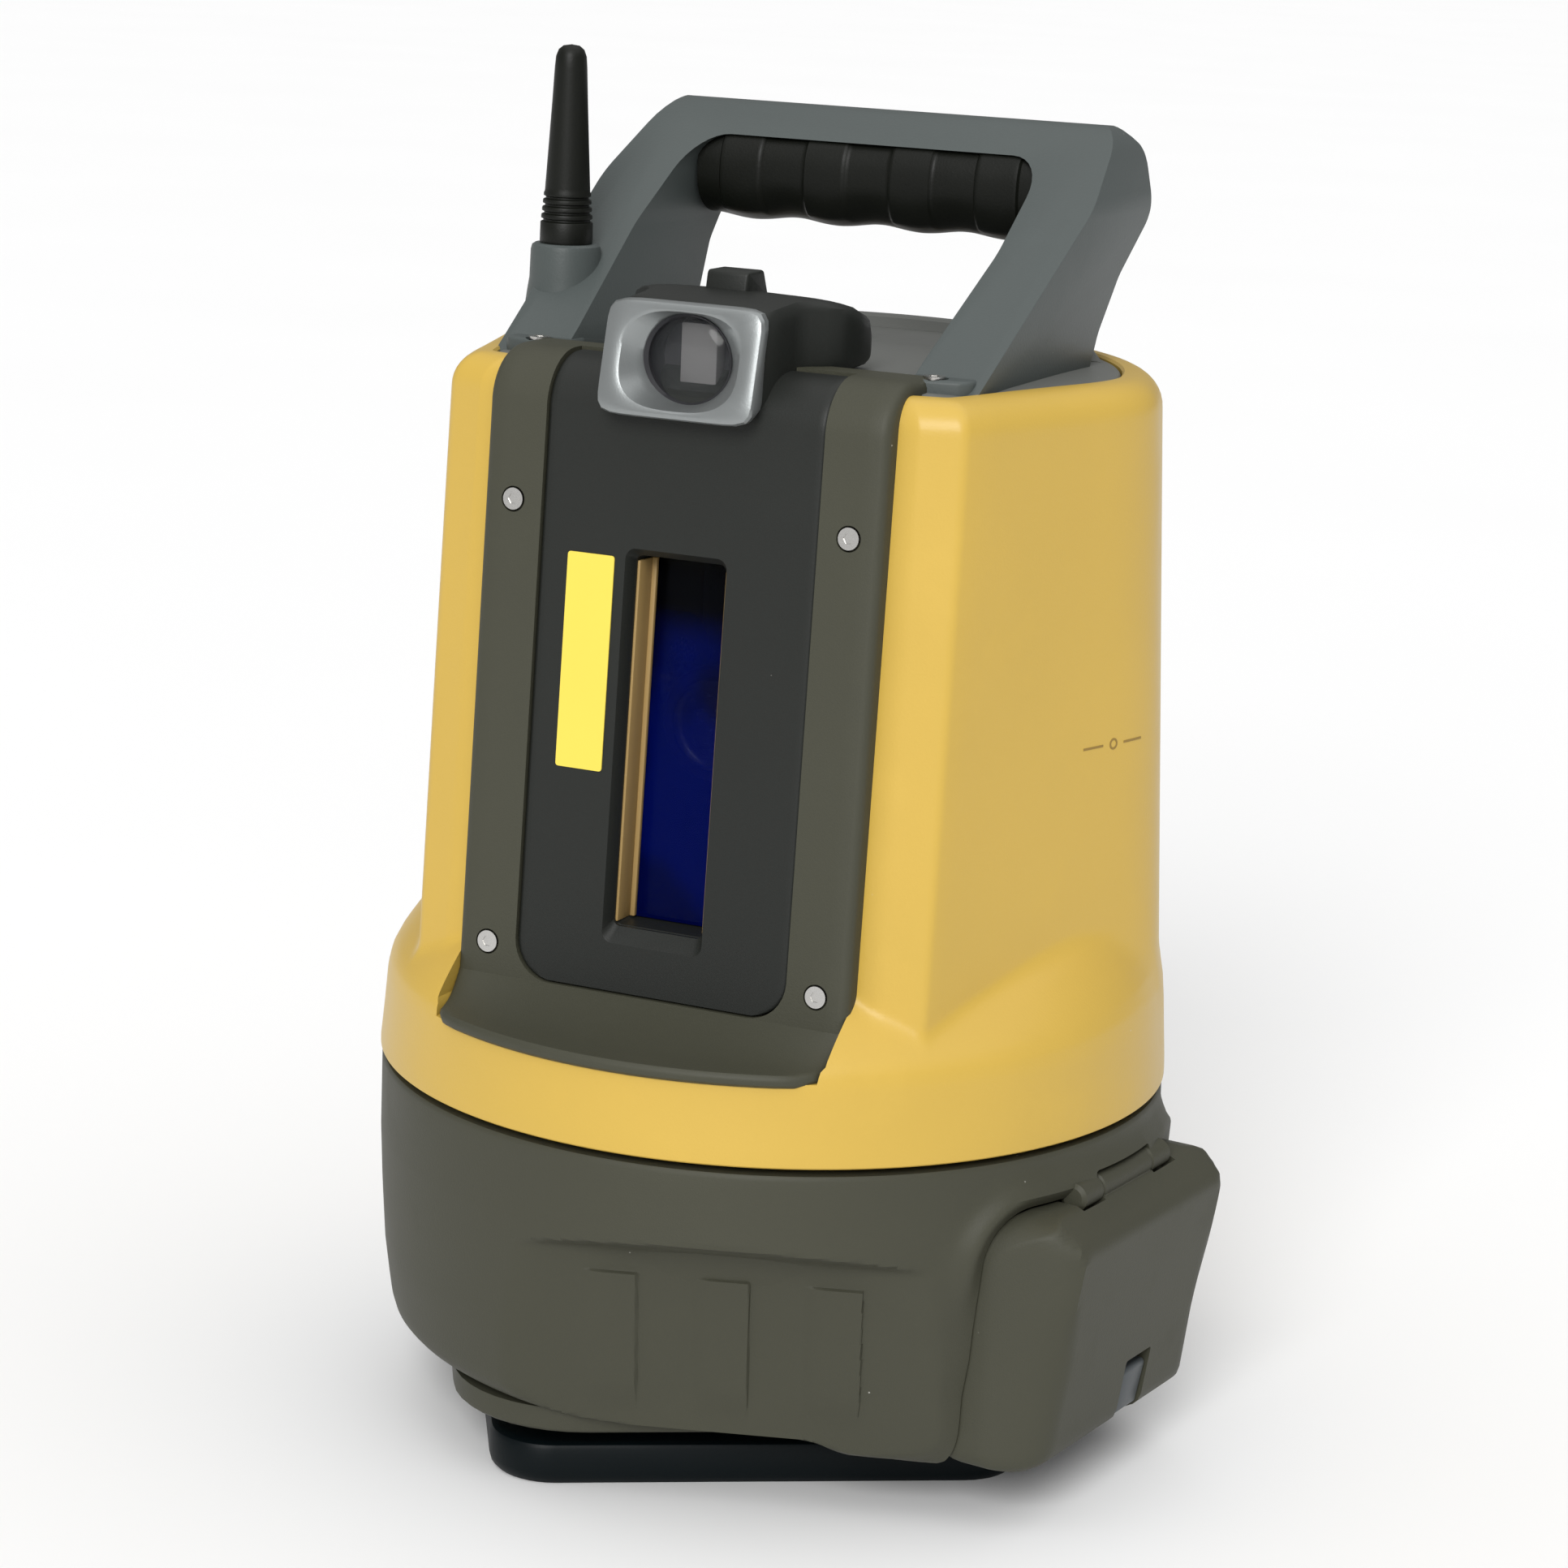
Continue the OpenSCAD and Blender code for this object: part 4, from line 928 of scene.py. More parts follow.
def make_antenna():
    """Tapered rubber whip with rings at its foot."""
    profile = [(0, 274.5), (4.0, 274.5), (4.0, 281.2), (6.15, 281.25), (6.25, 281.8), (6.2, 286.0)]
    for k in range(4):
        z = 286.2 + 1.75 * k
        wide = 6.1 - 0.16 * k
        profile += [(wide, z), (wide - 0.55, z + 0.25), (wide - 0.6, z + 0.6), (wide - 0.05, z + 0.85),
                    (wide - 0.04, z + 1.4)]
    profile += [(5.35, 293.4), (5.3, 294.2), (4.75, 304.0), (4.2, 314.0), (3.82, 322.0), (3.6, 324.6),
                (3.0, 326.2), (1.9, 327.1), (0, 327.4)]
    whip = turned("antenna_whip", profile, 56, ANTENNA)
    placed(whip, "head", "rubber", ["antenna"], smooth=34)


# ---------------------------------------------------------------- base


def skirt_radius(z):
    """Plain radius of the base's wall above its turned-in foot."""
    heights = [33.0, 42.0, 56.0, 70.0, 88.0, 88.7]
    radii = [91.8, 93.0, 93.9, 94.5, 94.5, 94.0]
    return float(np.interp(z, heights, radii))


def skirt_foot(az, share):
    """Height and radius of the skirt's turned-in foot, which comes down beside the door."""
    off = np.abs((az - DOOR_AZ + 180) % 360 - 180)
    near = 1.0 - ease(off, 43.0, 52.0)
    low = 20.0 - 4.6 * near
    foot = 78.5 + (np.interp(off, [26.0, 49.0], [91.4, 69.0]) - 78.5) * near
    shares = [0, 0.0615, 0.19, 0.323, 0.46, 0.69, 1.0]
    turned_in = float(np.interp(share, shares, [0, 0.278, 0.564, 0.76, 0.887, 0.955, 1.0]))
    return low + share * (33.0 - low), foot + (skirt_radius(33.0) - foot) * turned_in


def base_radius(az, z, skirt, rib):
    """Outer wall of the base, with two ribbed recesses and a raised border round the door."""
    r = skirt.copy()
    for centre in (RECESS_AZ, RECESS_AZ + 180):
        off = np.radians((az - centre + 180) % 360 - 180)
        c = np.cos(off)
        out = 82.6 - 0.155 * np.maximum(67 - z, 0) + 14.0 * ease(z, 63.5, 73.0) ** 1.15
        flat = np.where(c > 0.3, out / np.maximum(c, 0.3), 400.0)
        r = soft_min(r, flat, 0.8)
        across = flat * np.sin(off)
        for k in (-1, 0, 1):
            right, left = across - 25.6 * k - 6.5, 25.6 * k - 6.5 - across
            inside = (1.0 - ease(right, -0.25, 0.25)) * (1.0 - ease(left, -4.0, 0.6))
            inside = inside * (1.0 - ease(z, 58.9, 59.5)) * ease(z, 23.0, 32.0)
            r = np.where(c > 0.5, np.minimum(r + inside * rib, np.maximum(r, skirt)), r)
    off = np.radians((az - DOOR_AZ + 180) % 360 - 180)
    across = r * np.sin(off)
    dx = np.maximum(np.abs(across) - 32.0, 0.0)
    dz = np.maximum(z - 65.4, 0.0)
    gap = np.hypot(dx, dz) - 12.0
    border = np.exp(-((gap - 3.2) / 2.9) ** 2) * ease(z, 50.0, 72.0) * (np.cos(off) > 0.5)
    return r + 2.9 * border


def base_azimuths():
    """Azimuths of the base cover's columns, closest together at the ribs' and the door's edges."""
    parts = [np.arange(0, 360, 1.5)]
    for centre in (RECESS_AZ, RECESS_AZ + 180):
        for k in (-1, 0, 1):
            for e in (-6.55, 6.55):
                a = math.degrees(math.atan2(25.6 * k + e, 80.5)) + centre
                parts.append(np.arange(a - 1.0, a + 1.01, 0.22))
    for e in (-1, 1):
        a = DOOR_AZ + e * 28.6
        parts.append(np.arange(a - 3.5, a + 3.51, 0.5))
    az = np.unique(np.round(np.concatenate(parts) % 360, 2))
    return az[np.concatenate([[True], np.diff(az) > 0.12])]


def make_base_cover():
    """Olive skirt of the base: turned wall, hand recesses with ribs, door opening and panel pocket."""
    rib = bpy.context.scene.scanner.rib_height / MM
    az = base_azimuths()
    rings = []
    for share in (0.0, 0.03, 0.0615, 0.11, 0.16, 0.21, 0.27, 0.33, 0.4, 0.48, 0.57, 0.67, 0.78, 0.89):
        z, skirt = skirt_foot(az, share)
        rings.append(polar_ring(az, base_radius(az, z, skirt, rib), z))
    levels = np.concatenate([[33.0, 35, 38, 42, 46, 50, 54, 57], np.arange(58.5, 59.8, 0.22),
                             np.arange(60.5, 80.5, 0.85), [82, 85, 87.4, 88.2, 88.7]])
    for z in levels:
        skirt = np.full_like(az, skirt_radius(z))
        rings.append(polar_ring(az, base_radius(az, np.full_like(az, z), skirt, rib), z))
    for r, z in [(84, 88.7), (84, 84), (89, 80), (88, 45)]:
        inner = base_radius(az, np.full_like(az, z), np.full_like(az, skirt_radius(z)), 0) - 2.4
        rings.append(polar_ring(az, np.minimum(np.full_like(az, r), inner), z))
    for share, drop in ((0.6, 4.0), (0.15, 6.0), (0.0, 8.5)):
        z, skirt = skirt_foot(az, share)
        rings.append(polar_ring(az, np.minimum(base_radius(az, z, skirt, 0), skirt) - drop, z))
    cover = lofted("base_cover", rings, loop=True)
    mouth = rounded_outline([(-44.15, 5, 0), (44.15, 5, 0), (44.15, 77.3, 12.5), (-44.15, 77.3, 12.5)], 10)
    tool = lofted("mouth", [[from_face(DOOR_AZ, t, n, z) for t, z in mouth] for n in (50, 125)])
    combined(cover, tool)
    leaf = rounded_outline([(-13.4, 70, 0), (13.4, 70, 0), (13.4, 82.0, 1), (-13.4, 82.0, 1)], 2)
    combined(cover, lofted("leaf", [[from_face(DOOR_AZ, t, n, z) for t, z in leaf] for n in (90.4, 125)]))
    pocket = rounded_box(22.0, 18.0, 5, 6, (0, PANEL_Z))
    combined(cover, lofted("pocket", [[from_face(PANEL_AZ, t, n, z) for t, z in pocket] for n in (90.6, 125)]))
    return placed(cover, "base", "olive_cover", ["base_housing"], smooth=30)


def foot_outline(half_across, half_out, radius, shift=0.0):
    """Rounded rectangle turned to the foot's own azimuth."""
    turn = math.radians(FOOT_AZ)
    return [(x * math.cos(turn) - y * math.sin(turn), x * math.sin(turn) + y * math.cos(turn))
            for x, y in rounded_box(half_across, half_out, radius, 10, (shift, 0))]


def make_base_block():
    """Rectangular block under the skirt, open where the battery door comes down past it."""
    rings = []
    for inset, z in ((2.8, 15.4), (1.0, 15.5), (0.2, 16.2), (0.0, 17.2), (0.1, 21.4), (9.0, 21.6)):
        rings.append([(x, y, z) for x, y in foot_outline(77 - inset, 63 - inset, 30 - inset)])
    block = lofted("base_block", rings)
    combined(block, turned("hole", [(0, 0), (33, 0), (33, 40), (0, 40)], 48))
    mouth = [(-56.2, 5), (56.2, 5), (56.2, 60), (-56.2, 60)]
    combined(block, lofted("mouth", [[from_face(DOOR_AZ, t, n, z) for t, z in mouth] for n in (61.9, 125)]))
    return placed(block, "base", "olive_cover", ["base_plate"], smooth=34)


def make_foot():
    """Black tripod seat with a turned-in lower edge and a bore for its threaded insert."""
    rings = []
    for inset, z in ((2.2, 0.0), (1.4, 0.15), (0.4, 1.4), (0.0, 3.0), (0.0, 8.9), (0.5, 9.8), (1.4, 10.2),
                     (2.4, 10.3)):
        outline = foot_outline(63.5 - inset, 56.5 - inset, 14.5 - inset * 0.5, -5.0)
        rings.append([(x, y, z) for x, y in outline])
    foot = lofted("foot_cover", rings)
    combined(foot, turned("bore", [(0, -5), (11, -5), (11, 20), (0, 20)], 64))
    return placed(foot, "foot", "black_foot", ["foot_plate"], smooth=34)


def door_out(t, z):
    """How far the door's outer face stands from the axis: a leaning face, a dished top and two flanks."""
    face = soft_min(99.8 + 0.15 * (z - 30), 95.6 + 1.5 * (z - DOOR_LOW), 4.0)
    dish = 0.9 * np.exp(-((z - 74.0) / 2.6) ** 2) * np.exp(-(t / 20.0) ** 4)
    face = soft_min(face, 97.4 + 1.3 * (DOOR_TOP - z) - dish, 3.2)
    wide = 6.0 + 12.0 * (1.0 - ease(z, 34.0, 66.0))
    left = soft_min(face, 86.0 + 2.8 * (t + DOOR_HALF), wide)
    return soft_min(left, 86.0 + 2.8 * (DOOR_HALF - t), wide)


def hinge_barrel(name, profile, sides=32):
    """Solid of revolution about the door's hinge from (across, radius) points."""
    return lofted(name, [[from_face(DOOR_AZ, t, HINGE_OUT + r * math.cos(a), HINGE_Z + r * math.sin(a))
                          for a in circle_angles(sides)] for t, r in profile])


def make_door():
    """Bulging battery door with its knuckle, and the notch for the latch."""
    rows_z = np.concatenate([[DOOR_LOW, 16.0, 16.8, 18.0], np.arange(20, 64, 2.5), np.arange(64.5, 76.6, 0.8),
                             [DOOR_TOP]])
    top, bottom = [], []
    for z in rows_z:
        up = max(0.0, z - 64.5)
        low = max(0.0, 19.6 - z)
        half = DOOR_HALF - 12 + math.sqrt(max(0.0, 144 - up * up)) if up > 0 else DOOR_HALF
        half = half - 4 + math.sqrt(max(0.0, 16 - low * low)) if low > 0 else half
        ts = np.concatenate([[-1.0, -0.994, -0.98], np.linspace(-0.95, 0.95, 39), [0.98, 0.994, 1.0]]) * half
        drop = [1.3, 0.4, 0.05] + [0.0] * 39 + [0.05, 0.4, 1.3]
        fall = 1.2 * (1 - ease(z, DOOR_LOW, 17.4)) + 1.0 * ease(z, 75.6, DOOR_TOP)
        outs = [float(door_out(t, z)) for t in ts]
        top.append([from_face(DOOR_AZ, t, out - d - fall, z) for t, out, d in zip(ts, outs, drop)])
        bottom.append([from_face(DOOR_AZ, t, min(out - 3.4, math.sqrt(94.9 ** 2 - t * t) + 2.0)
                                 - 2.5 - 3.6 * ease(abs(t), 36.0, 41.0), z) for t, out in zip(ts, outs)])
    door = slab("door_cover", top, bottom)
    for side in (-1, 1):
        combined(door, hinge_barrel("gap", [(side * 12.3, 4.3), (side * 23.4, 4.3)], 24))
    notch = rounded_outline([(0.2, 5, 0), (13.0, 5, 0), (13.0, 32.4, 0.8), (0.2, 32.4, 0.8)], 3)
    combined(door, lofted("notch", [[from_face(DOOR_AZ, t, n, z) for t, z in notch] for n in (70, 125)]))
    knuckle = hinge_barrel("knuckle", [(-12, 2.9), (-11.6, 3.4), (11.6, 3.4), (12, 2.9)])
    leaf = ((92.4, 70.0), (97.8, 70.0), (97.6, HINGE_Z), (92.4, HINGE_Z))
    web = lofted("web", [[from_face(DOOR_AZ, t, n, z) for n, z in leaf] for t in (-11.9, 11.9)])
    bevelled(web, 0.5, 2)
    door = joined("door_cover", door, knuckle, web)
    placed(door, "door", "olive_cover", ["battery_door"], smooth=34)
    fixed = [hinge_barrel("fixed", [(-22, 2.4), (-21.3, 3.4), (-13.0, 3.4), (-12.4, 2.9)]),
             hinge_barrel("fixed", [(12.4, 2.9), (13.0, 3.4), (21.3, 3.4), (22, 2.4)])]
    placed(joined("hinge_knuckles", *fixed), "base", "olive_cover", smooth=34)
    outer = [(float(door_out(6.6, z)) - inset, z)
             for z, inset in ((17.3, 1.4), (18.2, 0.5), (28.6, 0.5), (29.5, 1.3))]
    inner = outer[0][0] - 5.0
    section = [(inner, 17.3), *outer, (inner, 29.5)]
    tab = lofted("latch_tab", [[from_face(DOOR_AZ, t, n, z) for n, z in section] for t in (0.8, 12.4)])
    bevelled(tab, 0.5, 2)
    placed(tab, "latch", "latch_grey", ["battery_latch"], smooth=34)


def rod_out(name, profile, across, z, sides=40):
    """Solid of revolution about a line square to the control panel, from (radius, out) points."""
    angles = circle_angles(sides)
    return lofted(name, [[from_face(PANEL_AZ, across + r * math.cos(a), n, z + r * math.sin(a))
                          for a in angles] for r, n in profile])


def make_control_panel():
    """Panel with a raised edge, its button in a ring, a capped port and three small lights."""
    button_at, port_at = -11, 10
    rings = []
    for inset, out in ((0.0, 86.0), (0.0, 91.0), (0.3, 91.5), (1.2, 91.8), (2.2, 91.5), (2.8, 90.9),
                       (3.2, 90.7)):
        edge = rounded_box(21.7 - inset, 17.7 - inset, 5 - inset, 6, (0, PANEL_Z))
        rings.append([from_face(PANEL_AZ, t, out, z) for t, z in edge])
    panel = lofted("control_panel_face", rings)
    for across, radius in ((button_at, 5.5), (port_at, 6.3)):
        combined(panel, rod_out("hole", [(0, 85), (radius, 85), (radius, 99), (0, 99)], across, PANEL_Z))
    placed(panel, "base", "black_panel", ["control_panel"], smooth=32)
    button = rod_out("power_button_cap", [(0, 89.7), (5.0, 89.7), (5.15, 90.0), (5.15, 91.2), (4.8, 91.7),
                                          (4.0, 91.9), (3.0, 91.6), (0, 91.4)], button_at, PANEL_Z)
    placed(button, "button", "grey_handle", ["power_button"], smooth=34)
    cap = rod_out("port_cap_cover", [(0, 88.8), (4.2, 88.8), (4.2, 90.9), (6.5, 90.95), (6.8, 91.4),
                                     (6.8, 92.4), (6.2, 93.0), (4.6, 93.1), (4.2, 92.8), (0, 92.8)],
                  port_at, PANEL_Z)
    tab = rounded_box(1.1, 6.6, 0.6, 3, (port_at, PANEL_Z))
    pull = lofted("pull", [[from_face(PANEL_AZ, t, n, z) for t, z in tab] for n in (92.6, 94.0)])
    bevelled(pull, 0.35, 2)
    placed(joined("port_cap_cover", cap, pull), "base", "rubber", ["port_cap"], smooth=34)
    lamps = [rod_out("lamp", [(0, 90.2), (1.1, 90.2), (1.1, 91.0), (0.8, 91.35), (0, 91.45)], t, 65, 20)
             for t in (-15, -11, -7)]
    placed(joined("status_lamps", *lamps), "base", "green_light", ["status_lights"], smooth=50)


def make_small_parts():
    """Dark seal between the head and the base."""
    section = [(80, 86.0), (89.2, 86.0), (89.6, 86.6), (89.6, 90.2), (80, 90.2)]
    ring = turned("seal_band", section, 128, loop=True)
    placed(ring, "base", "seam", ["seal_ring"])


def screw_tree():
    """Node tree that stands a socket-head screw on every point, turned by the point's own angles."""
    tree = bpy.data.node_groups.new("Socket screws", "GeometryNodeTree")
    tree.interface.new_socket("Geometry", in_out="INPUT", socket_type="NodeSocketGeometry")
    sizes = {}
    for label, value in (("Head radius", 0.0025), ("Head height", 0.0014), ("Key radius", 0.0012),
                         ("Key depth", 0.001)):
        one = tree.interface.new_socket(label, in_out="INPUT", socket_type="NodeSocketFloat")
        one.default_value = value
        sizes[label] = one.identifier
    steel = tree.interface.new_socket("Finish", in_out="INPUT", socket_type="NodeSocketMaterial")
    sizes["Finish"] = steel.identifier
    tree.interface.new_socket("Geometry", in_out="OUTPUT", socket_type="NodeSocketGeometry")
    link, add = tree.links.new, tree.nodes.new
    entry, leave = add("NodeGroupInput"), add("NodeGroupOutput")

    def cylinder(sides, radius, depth):
        node = add("GeometryNodeMeshCylinder")
        node.inputs["Vertices"].default_value = sides
        link(entry.outputs[radius], node.inputs["Radius"])
        link(entry.outputs[depth], node.inputs["Depth"])
        return node.outputs["Mesh"]

    head = cylinder(32, "Head radius", "Head height")
    lift = add("GeometryNodeTransform")
    link(cylinder(6, "Key radius", "Key depth"), lift.inputs["Geometry"])
    raised = add("ShaderNodeCombineXYZ")
    link(entry.outputs["Key depth"], raised.inputs["Z"])
    link(raised.outputs[0], lift.inputs["Translation"])
    cut = add("GeometryNodeMeshBoolean")
    cut.operation = "DIFFERENCE"
    link(head, cut.inputs["Mesh 1"])
    link(lift.outputs[0], cut.inputs["Mesh 2"])
    angles = add("GeometryNodeInputNamedAttribute")
    angles.data_type = "FLOAT_VECTOR"
    angles.inputs["Name"].default_value = "turn"
    stand = add("GeometryNodeInstanceOnPoints")
    link(entry.outputs["Geometry"], stand.inputs["Points"])
    link(cut.outputs[0], stand.inputs["Instance"])
    link(angles.outputs[0], stand.inputs["Rotation"])
    real, finish = add("GeometryNodeRealizeInstances"), add("GeometryNodeSetMaterial")
    link(stand.outputs[0], real.inputs[0])
    link(real.outputs[0], finish.inputs["Geometry"])
    link(entry.outputs["Finish"], finish.inputs["Material"])
    link(finish.outputs[0], leave.inputs[0])
    return tree, sizes


def make_screws():
    """Four screws in the front frame and two at the foot of the handle."""
    tilt = math.radians(90.0 - math.degrees(math.atan(TAN_LEAN)))
    spots = [((x, front_y(z) + 0.55, z), (tilt, 0, 0)) for x in (-SCREW_X, SCREW_X) for z in SCREW_ROWS]
    spots += [((side * FOOT_SCREW[0], FOOT_SCREW[1], 261.5), (0, 0, 0.4)) for side in (-1, 1)]
    screws = new_object("cover_screws", [place for place, _ in spots], [])
    turn = screws.data.attributes.new("turn", "FLOAT_VECTOR", "POINT")
    for value, (_, angles) in zip(turn.data, spots):
        value.vector = angles
    tree, sizes = screw_tree()
    maker = screws.modifiers.new("Screws", "NODES")
    maker.node_group = tree
    for label, value in (("Head radius", 2.5 * MM), ("Head height", 1.4 * MM), ("Key radius", 1.25 * MM),
                         ("Key depth", 0.9 * MM), ("Finish", FINISHES["steel"])):
        maker[sizes[label]] = value
    settled(screws)
    bpy.data.node_groups.remove(tree)
    return placed(screws, "head", "steel", ["front_screws", "top_screws"], smooth=30)


def sight_back(azimuth, elevation):
    """Unit vector from the object towards a camera or light, from angles in degrees."""
    a, e = math.radians(azimuth), math.radians(elevation)
    return Vector((math.sin(a) * math.cos(e), -math.cos(a) * math.cos(e), math.sin(e)))


def make_stage():
    """Plain pale floor, soft lights and the camera."""
    mesh = bpy.data.meshes.new("floor")
    reach, level = 60.0, CAD_BOX[0].z
    corners = [(x * reach, y * reach, level) for x, y in ((-1, -1), (1, -1), (1, 1), (-1, 1))]
    mesh.from_pydata(corners, [], [(0, 1, 2, 3)])
    floor = bpy.data.objects.new("floor", mesh)
    bpy.context.scene.collection.objects.link(floor)
    pale = Finish("Pale floor")
    shade = pale.blend(pale.noise(3, 1), (0.87, 0.87, 0.87, 1), (0.89, 0.89, 0.89, 1))
    pale.set(Base_Color=shade, Roughness=0.9)
    mesh.materials.append(pale.material)
    scene = bpy.context.scene
    world = bpy.data.worlds.new("Studio") if scene.world is None else scene.world
    scene.world = world
    world.use_nodes = True
    sky = world.node_tree.nodes.get("Background") or world.node_tree.nodes.new("ShaderNodeBackground")
    sky.inputs["Color"].default_value = (1.0, 1.0, 1.0, 1.0)
    sky.inputs["Strength"].default_value = 0.31
    scene.view_settings.view_transform = "Standard"
    for name, azimuth, elevation, power, spread in (("key", 13.0, 30.0, 2.25, 28.0),
                                                    ("top", 60.0, 80.0, 1.55, 90.0)):
        lamp = bpy.data.lights.new(name, "SUN")
        lamp.energy, lamp.angle = power, math.radians(spread)
        holder = bpy.data.objects.new(name, lamp)
        scene.collection.objects.link(holder)
        back = sight_back(azimuth, elevation)
        holder.location = back * 2
        holder.rotation_mode = "QUATERNION"
        holder.rotation_quaternion = back.to_track_quat("Z", "Y")
    lens = bpy.data.cameras.new("camera")
    lens.lens, lens.sensor_width, lens.clip_start = 92.5, 36.0, 0.05
    camera = bpy.data.objects.new("camera", lens)
    scene.collection.objects.link(camera)
    azimuth, elevation, roll = 25.0, 13.14, math.radians(2.44)
    back = sight_back(azimuth, elevation)
    right = Vector((math.cos(math.radians(azimuth)), math.sin(math.radians(azimuth)), 0.0))
    up = back.cross(right)
    across = right * math.cos(roll) + up * math.sin(roll)
    over = up * math.cos(roll) - right * math.sin(roll)
    turn = Matrix((across, over, back)).transposed()
    camera.matrix_world = Matrix.Translation(Vector((0.3974, -0.8522, 0.3752))) @ turn.to_4x4()
    scene.camera = camera


def finish_cad_parts():
    """Gives every part that still shows as it was packed the finish of its slot."""
    slots = {p["node"]: p["material_slot"] for p in frame["record"]["subparts"]}
    for name, obj in frame["nodes"].items():
        obj.data.materials.clear()
        obj.data.materials.append(FINISHES[slots[name]])


class SCANNER_OT_cad_parts(bpy.types.Operator):
    """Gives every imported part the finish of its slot"""

    bl_idname = "scanner.cad_parts"
    bl_label = "Packed parts"

    def execute(self, context):
        finish_cad_parts()
        return {"FINISHED"}


class SCANNER_OT_head_cover(bpy.types.Operator):
    """Makes the yellow head cover"""

    bl_idname = "scanner.head_cover"
    bl_label = "Head cover"

    def execute(self, context):
        make_head_cover()
        return {"FINISHED"}


class SCANNER_OT_front_frame(bpy.types.Operator):
    """Makes the olive front frame"""

    bl_idname = "scanner.front_frame"
    bl_label = "Front frame"

    def execute(self, context):
        make_front_frame()
        return {"FINISHED"}


class SCANNER_OT_front_panel(bpy.types.Operator):
    """Makes the black front panel"""

    bl_idname = "scanner.front_panel"
    bl_label = "Front panel"

    def execute(self, context):
        make_front_panel()
        return {"FINISHED"}


class SCANNER_OT_window(bpy.types.Operator):
    """Makes the slot's walls and its blue filter"""

    bl_idname = "scanner.window"
    bl_label = "Window"

    def execute(self, context):
        make_window()
        return {"FINISHED"}


class SCANNER_OT_label(bpy.types.Operator):
    """Makes the blank plate beside the window"""

    bl_idname = "scanner.label"
    bl_label = "Plain label"

    def execute(self, context):
        make_label()
        return {"FINISHED"}


class SCANNER_OT_telescope(bpy.types.Operator):
    """Makes the barrel and the objective"""

    bl_idname = "scanner.telescope"
    bl_label = "Telescope"

    def execute(self, context):
        make_telescope()
        return {"FINISHED"}


class SCANNER_OT_index_marks(bpy.types.Operator):
    """Makes the marks at the tilt axis"""

    bl_idname = "scanner.index_marks"
    bl_label = "Index marks"

    def execute(self, context):
        make_index_marks()
        return {"FINISHED"}


class SCANNER_OT_top_plate(bpy.types.Operator):
    """Makes the plate under the handle"""

    bl_idname = "scanner.top_plate"
    bl_label = "Top plate"

    def execute(self, context):
        make_top_plate()
        return {"FINISHED"}


class SCANNER_OT_guide_light(bpy.types.Operator):
    """Makes the guide light and its housing"""

    bl_idname = "scanner.guide_light"
    bl_label = "Guide light"

    def execute(self, context):
        make_guide_light()
        return {"FINISHED"}


class SCANNER_OT_handle(bpy.types.Operator):
    """Makes the handle, the grip and the antenna"""

    bl_idname = "scanner.handle"
    bl_label = "Handle"

    def execute(self, context):
        make_handle()
        return {"FINISHED"}


class SCANNER_OT_base_cover(bpy.types.Operator):
    """Makes the skirt of the base"""

    bl_idname = "scanner.base_cover"
    bl_label = "Base cover"

    def execute(self, context):
        make_base_cover()
        return {"FINISHED"}


class SCANNER_OT_base_block(bpy.types.Operator):
    """Makes the block under the skirt"""

    bl_idname = "scanner.base_block"
    bl_label = "Base block"

    def execute(self, context):
        make_base_block()
        return {"FINISHED"}


class SCANNER_OT_foot(bpy.types.Operator):
    """Makes the tripod seat"""

    bl_idname = "scanner.foot"
    bl_label = "Foot"

    def execute(self, context):
        make_foot()
        return {"FINISHED"}


class SCANNER_OT_door(bpy.types.Operator):
    """Makes the battery door and its latch"""

    bl_idname = "scanner.door"
    bl_label = "Battery door"

    def execute(self, context):
        make_door()
        return {"FINISHED"}


class SCANNER_OT_control_panel(bpy.types.Operator):
    """Makes the panel, its button, cap and lights"""

    bl_idname = "scanner.control_panel"
    bl_label = "Control panel"

    def execute(self, context):
        make_control_panel()
        return {"FINISHED"}


class SCANNER_OT_small_parts(bpy.types.Operator):
    """Makes the seal between the head and the base"""

    bl_idname = "scanner.small_parts"
    bl_label = "Seal"

    def execute(self, context):
        make_small_parts()
        return {"FINISHED"}


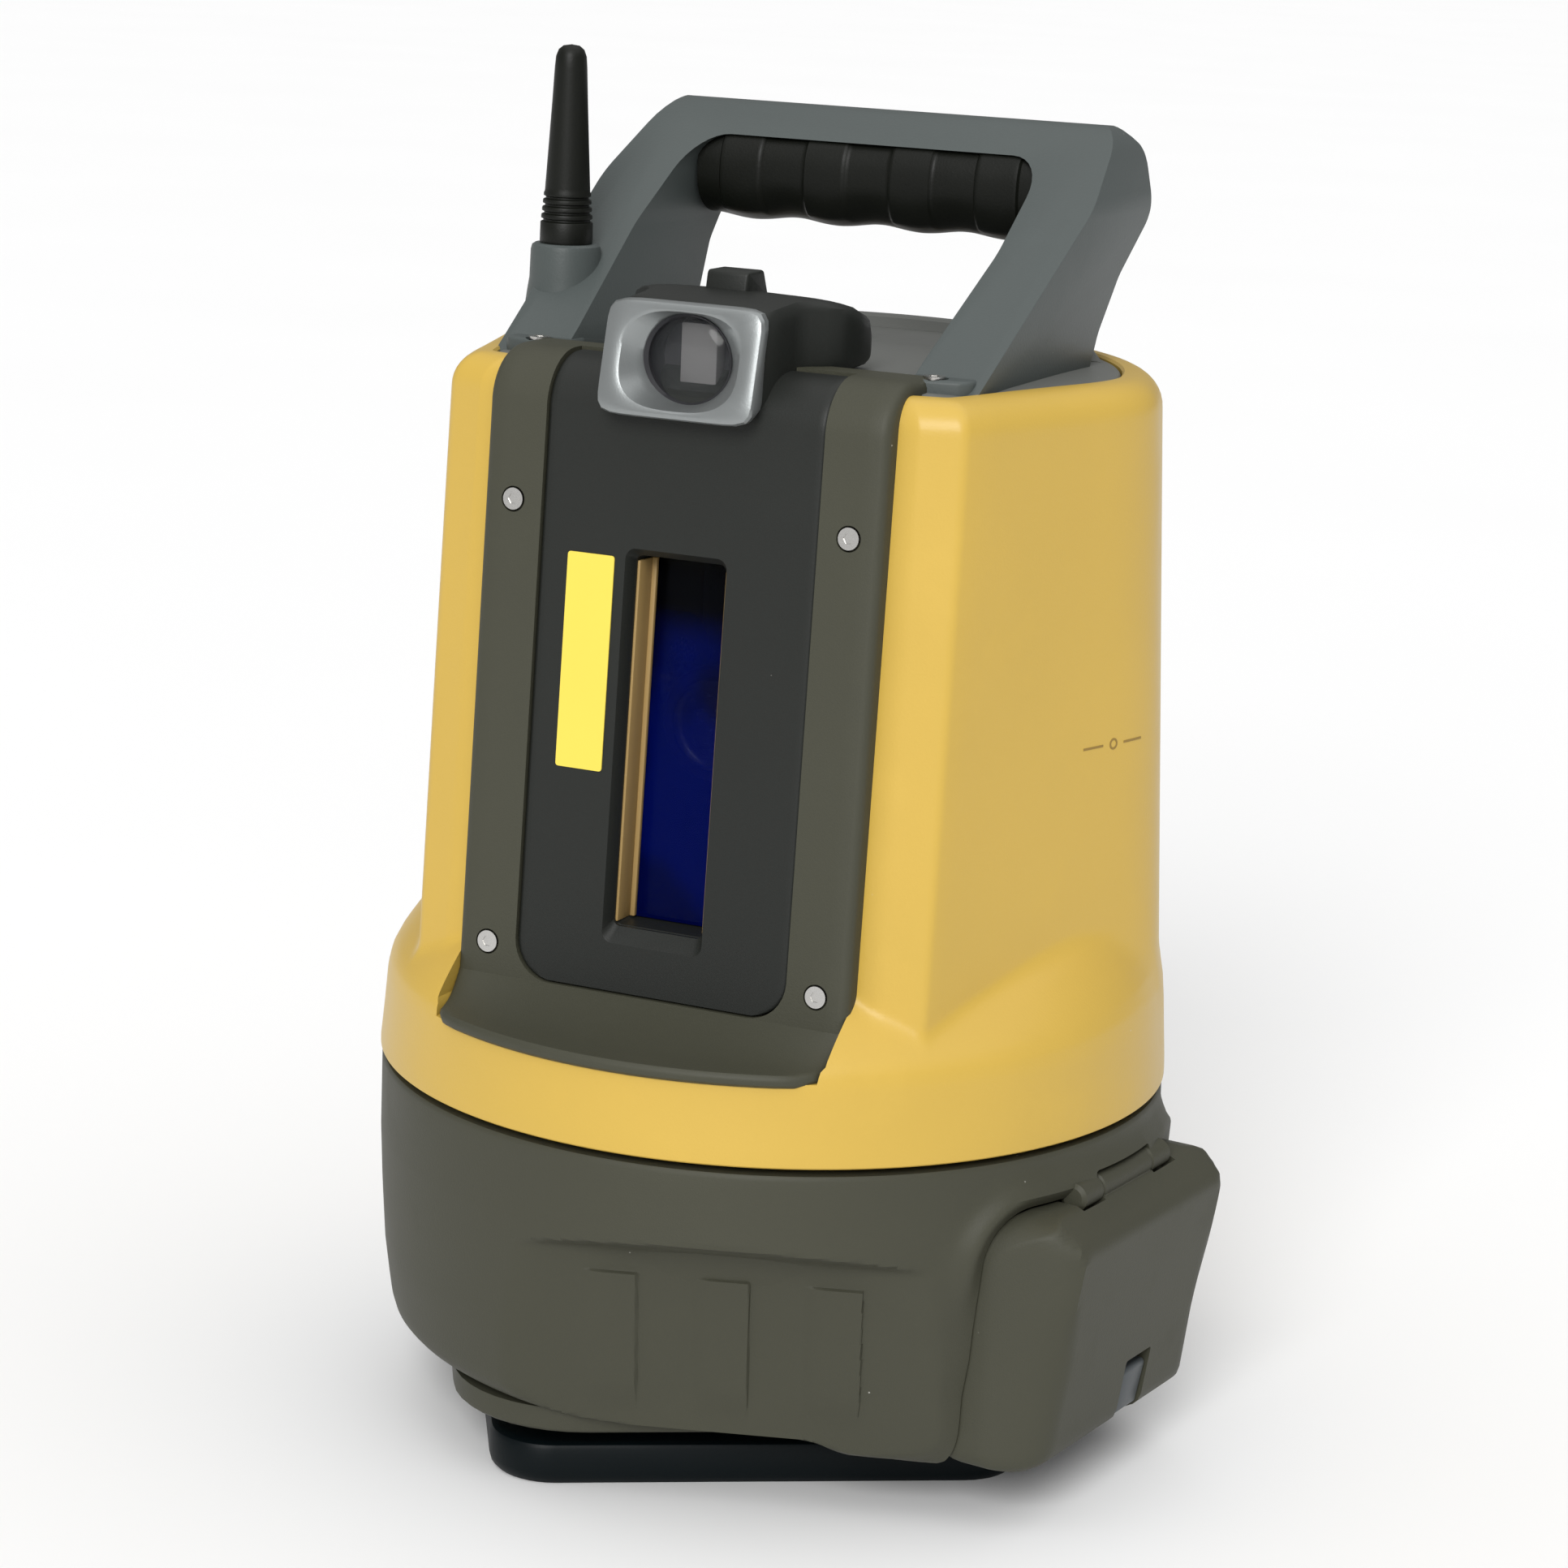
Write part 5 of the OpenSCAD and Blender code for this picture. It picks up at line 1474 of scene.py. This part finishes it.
class SCANNER_OT_screws(bpy.types.Operator):
    """Makes the cover screws with Geometry Nodes"""

    bl_idname = "scanner.screws"
    bl_label = "Screws"

    def execute(self, context):
        make_screws()
        return {"FINISHED"}


class SCANNER_OT_stage(bpy.types.Operator):
    """Makes the floor, the lights and the camera"""

    bl_idname = "scanner.stage"
    bl_label = "Stage"

    def execute(self, context):
        make_stage()
        return {"FINISHED"}


OPERATORS = [
    SCANNER_OT_cad_parts,
    SCANNER_OT_head_cover,
    SCANNER_OT_front_frame,
    SCANNER_OT_front_panel,
    SCANNER_OT_window,
    SCANNER_OT_label,
    SCANNER_OT_telescope,
    SCANNER_OT_index_marks,
    SCANNER_OT_top_plate,
    SCANNER_OT_guide_light,
    SCANNER_OT_handle,
    SCANNER_OT_base_cover,
    SCANNER_OT_base_block,
    SCANNER_OT_foot,
    SCANNER_OT_door,
    SCANNER_OT_control_panel,
    SCANNER_OT_small_parts,
    SCANNER_OT_screws,
    SCANNER_OT_stage,
]


class SCANNER_PT_build(bpy.types.Panel):
    """Lists the scanner's sizes, colours and makers."""

    bl_idname = "SCANNER_PT_build"
    bl_label = "Surveying Scanner"
    bl_space_type = "VIEW_3D"
    bl_region_type = "UI"
    bl_category = "Scanner"

    def draw(self, context):
        for key in SCANNER_PG_look.__annotations__:
            self.layout.prop(context.scene.scanner, key)
        for maker in OPERATORS:
            self.layout.operator(maker.bl_idname)


CLASSES = [SCANNER_PG_look, *OPERATORS, SCANNER_PT_build]


def register():
    """Adds the classes and the scene's own settings to Blender."""
    for one in CLASSES:
        bpy.utils.register_class(one)
    bpy.types.Scene.scanner = PointerProperty(type=SCANNER_PG_look)


def unregister():
    """Takes them out again."""
    del bpy.types.Scene.scanner
    for one in reversed(CLASSES):
        bpy.utils.unregister_class(one)


def main():
    """Makes every piece in order."""
    register()
    FINISHES.update(make_finishes(bpy.context.scene.scanner))
    for maker in OPERATORS:
        getattr(bpy.ops.scanner, maker.bl_idname.split(".")[1])()


if __name__ == "__main__":
    main()
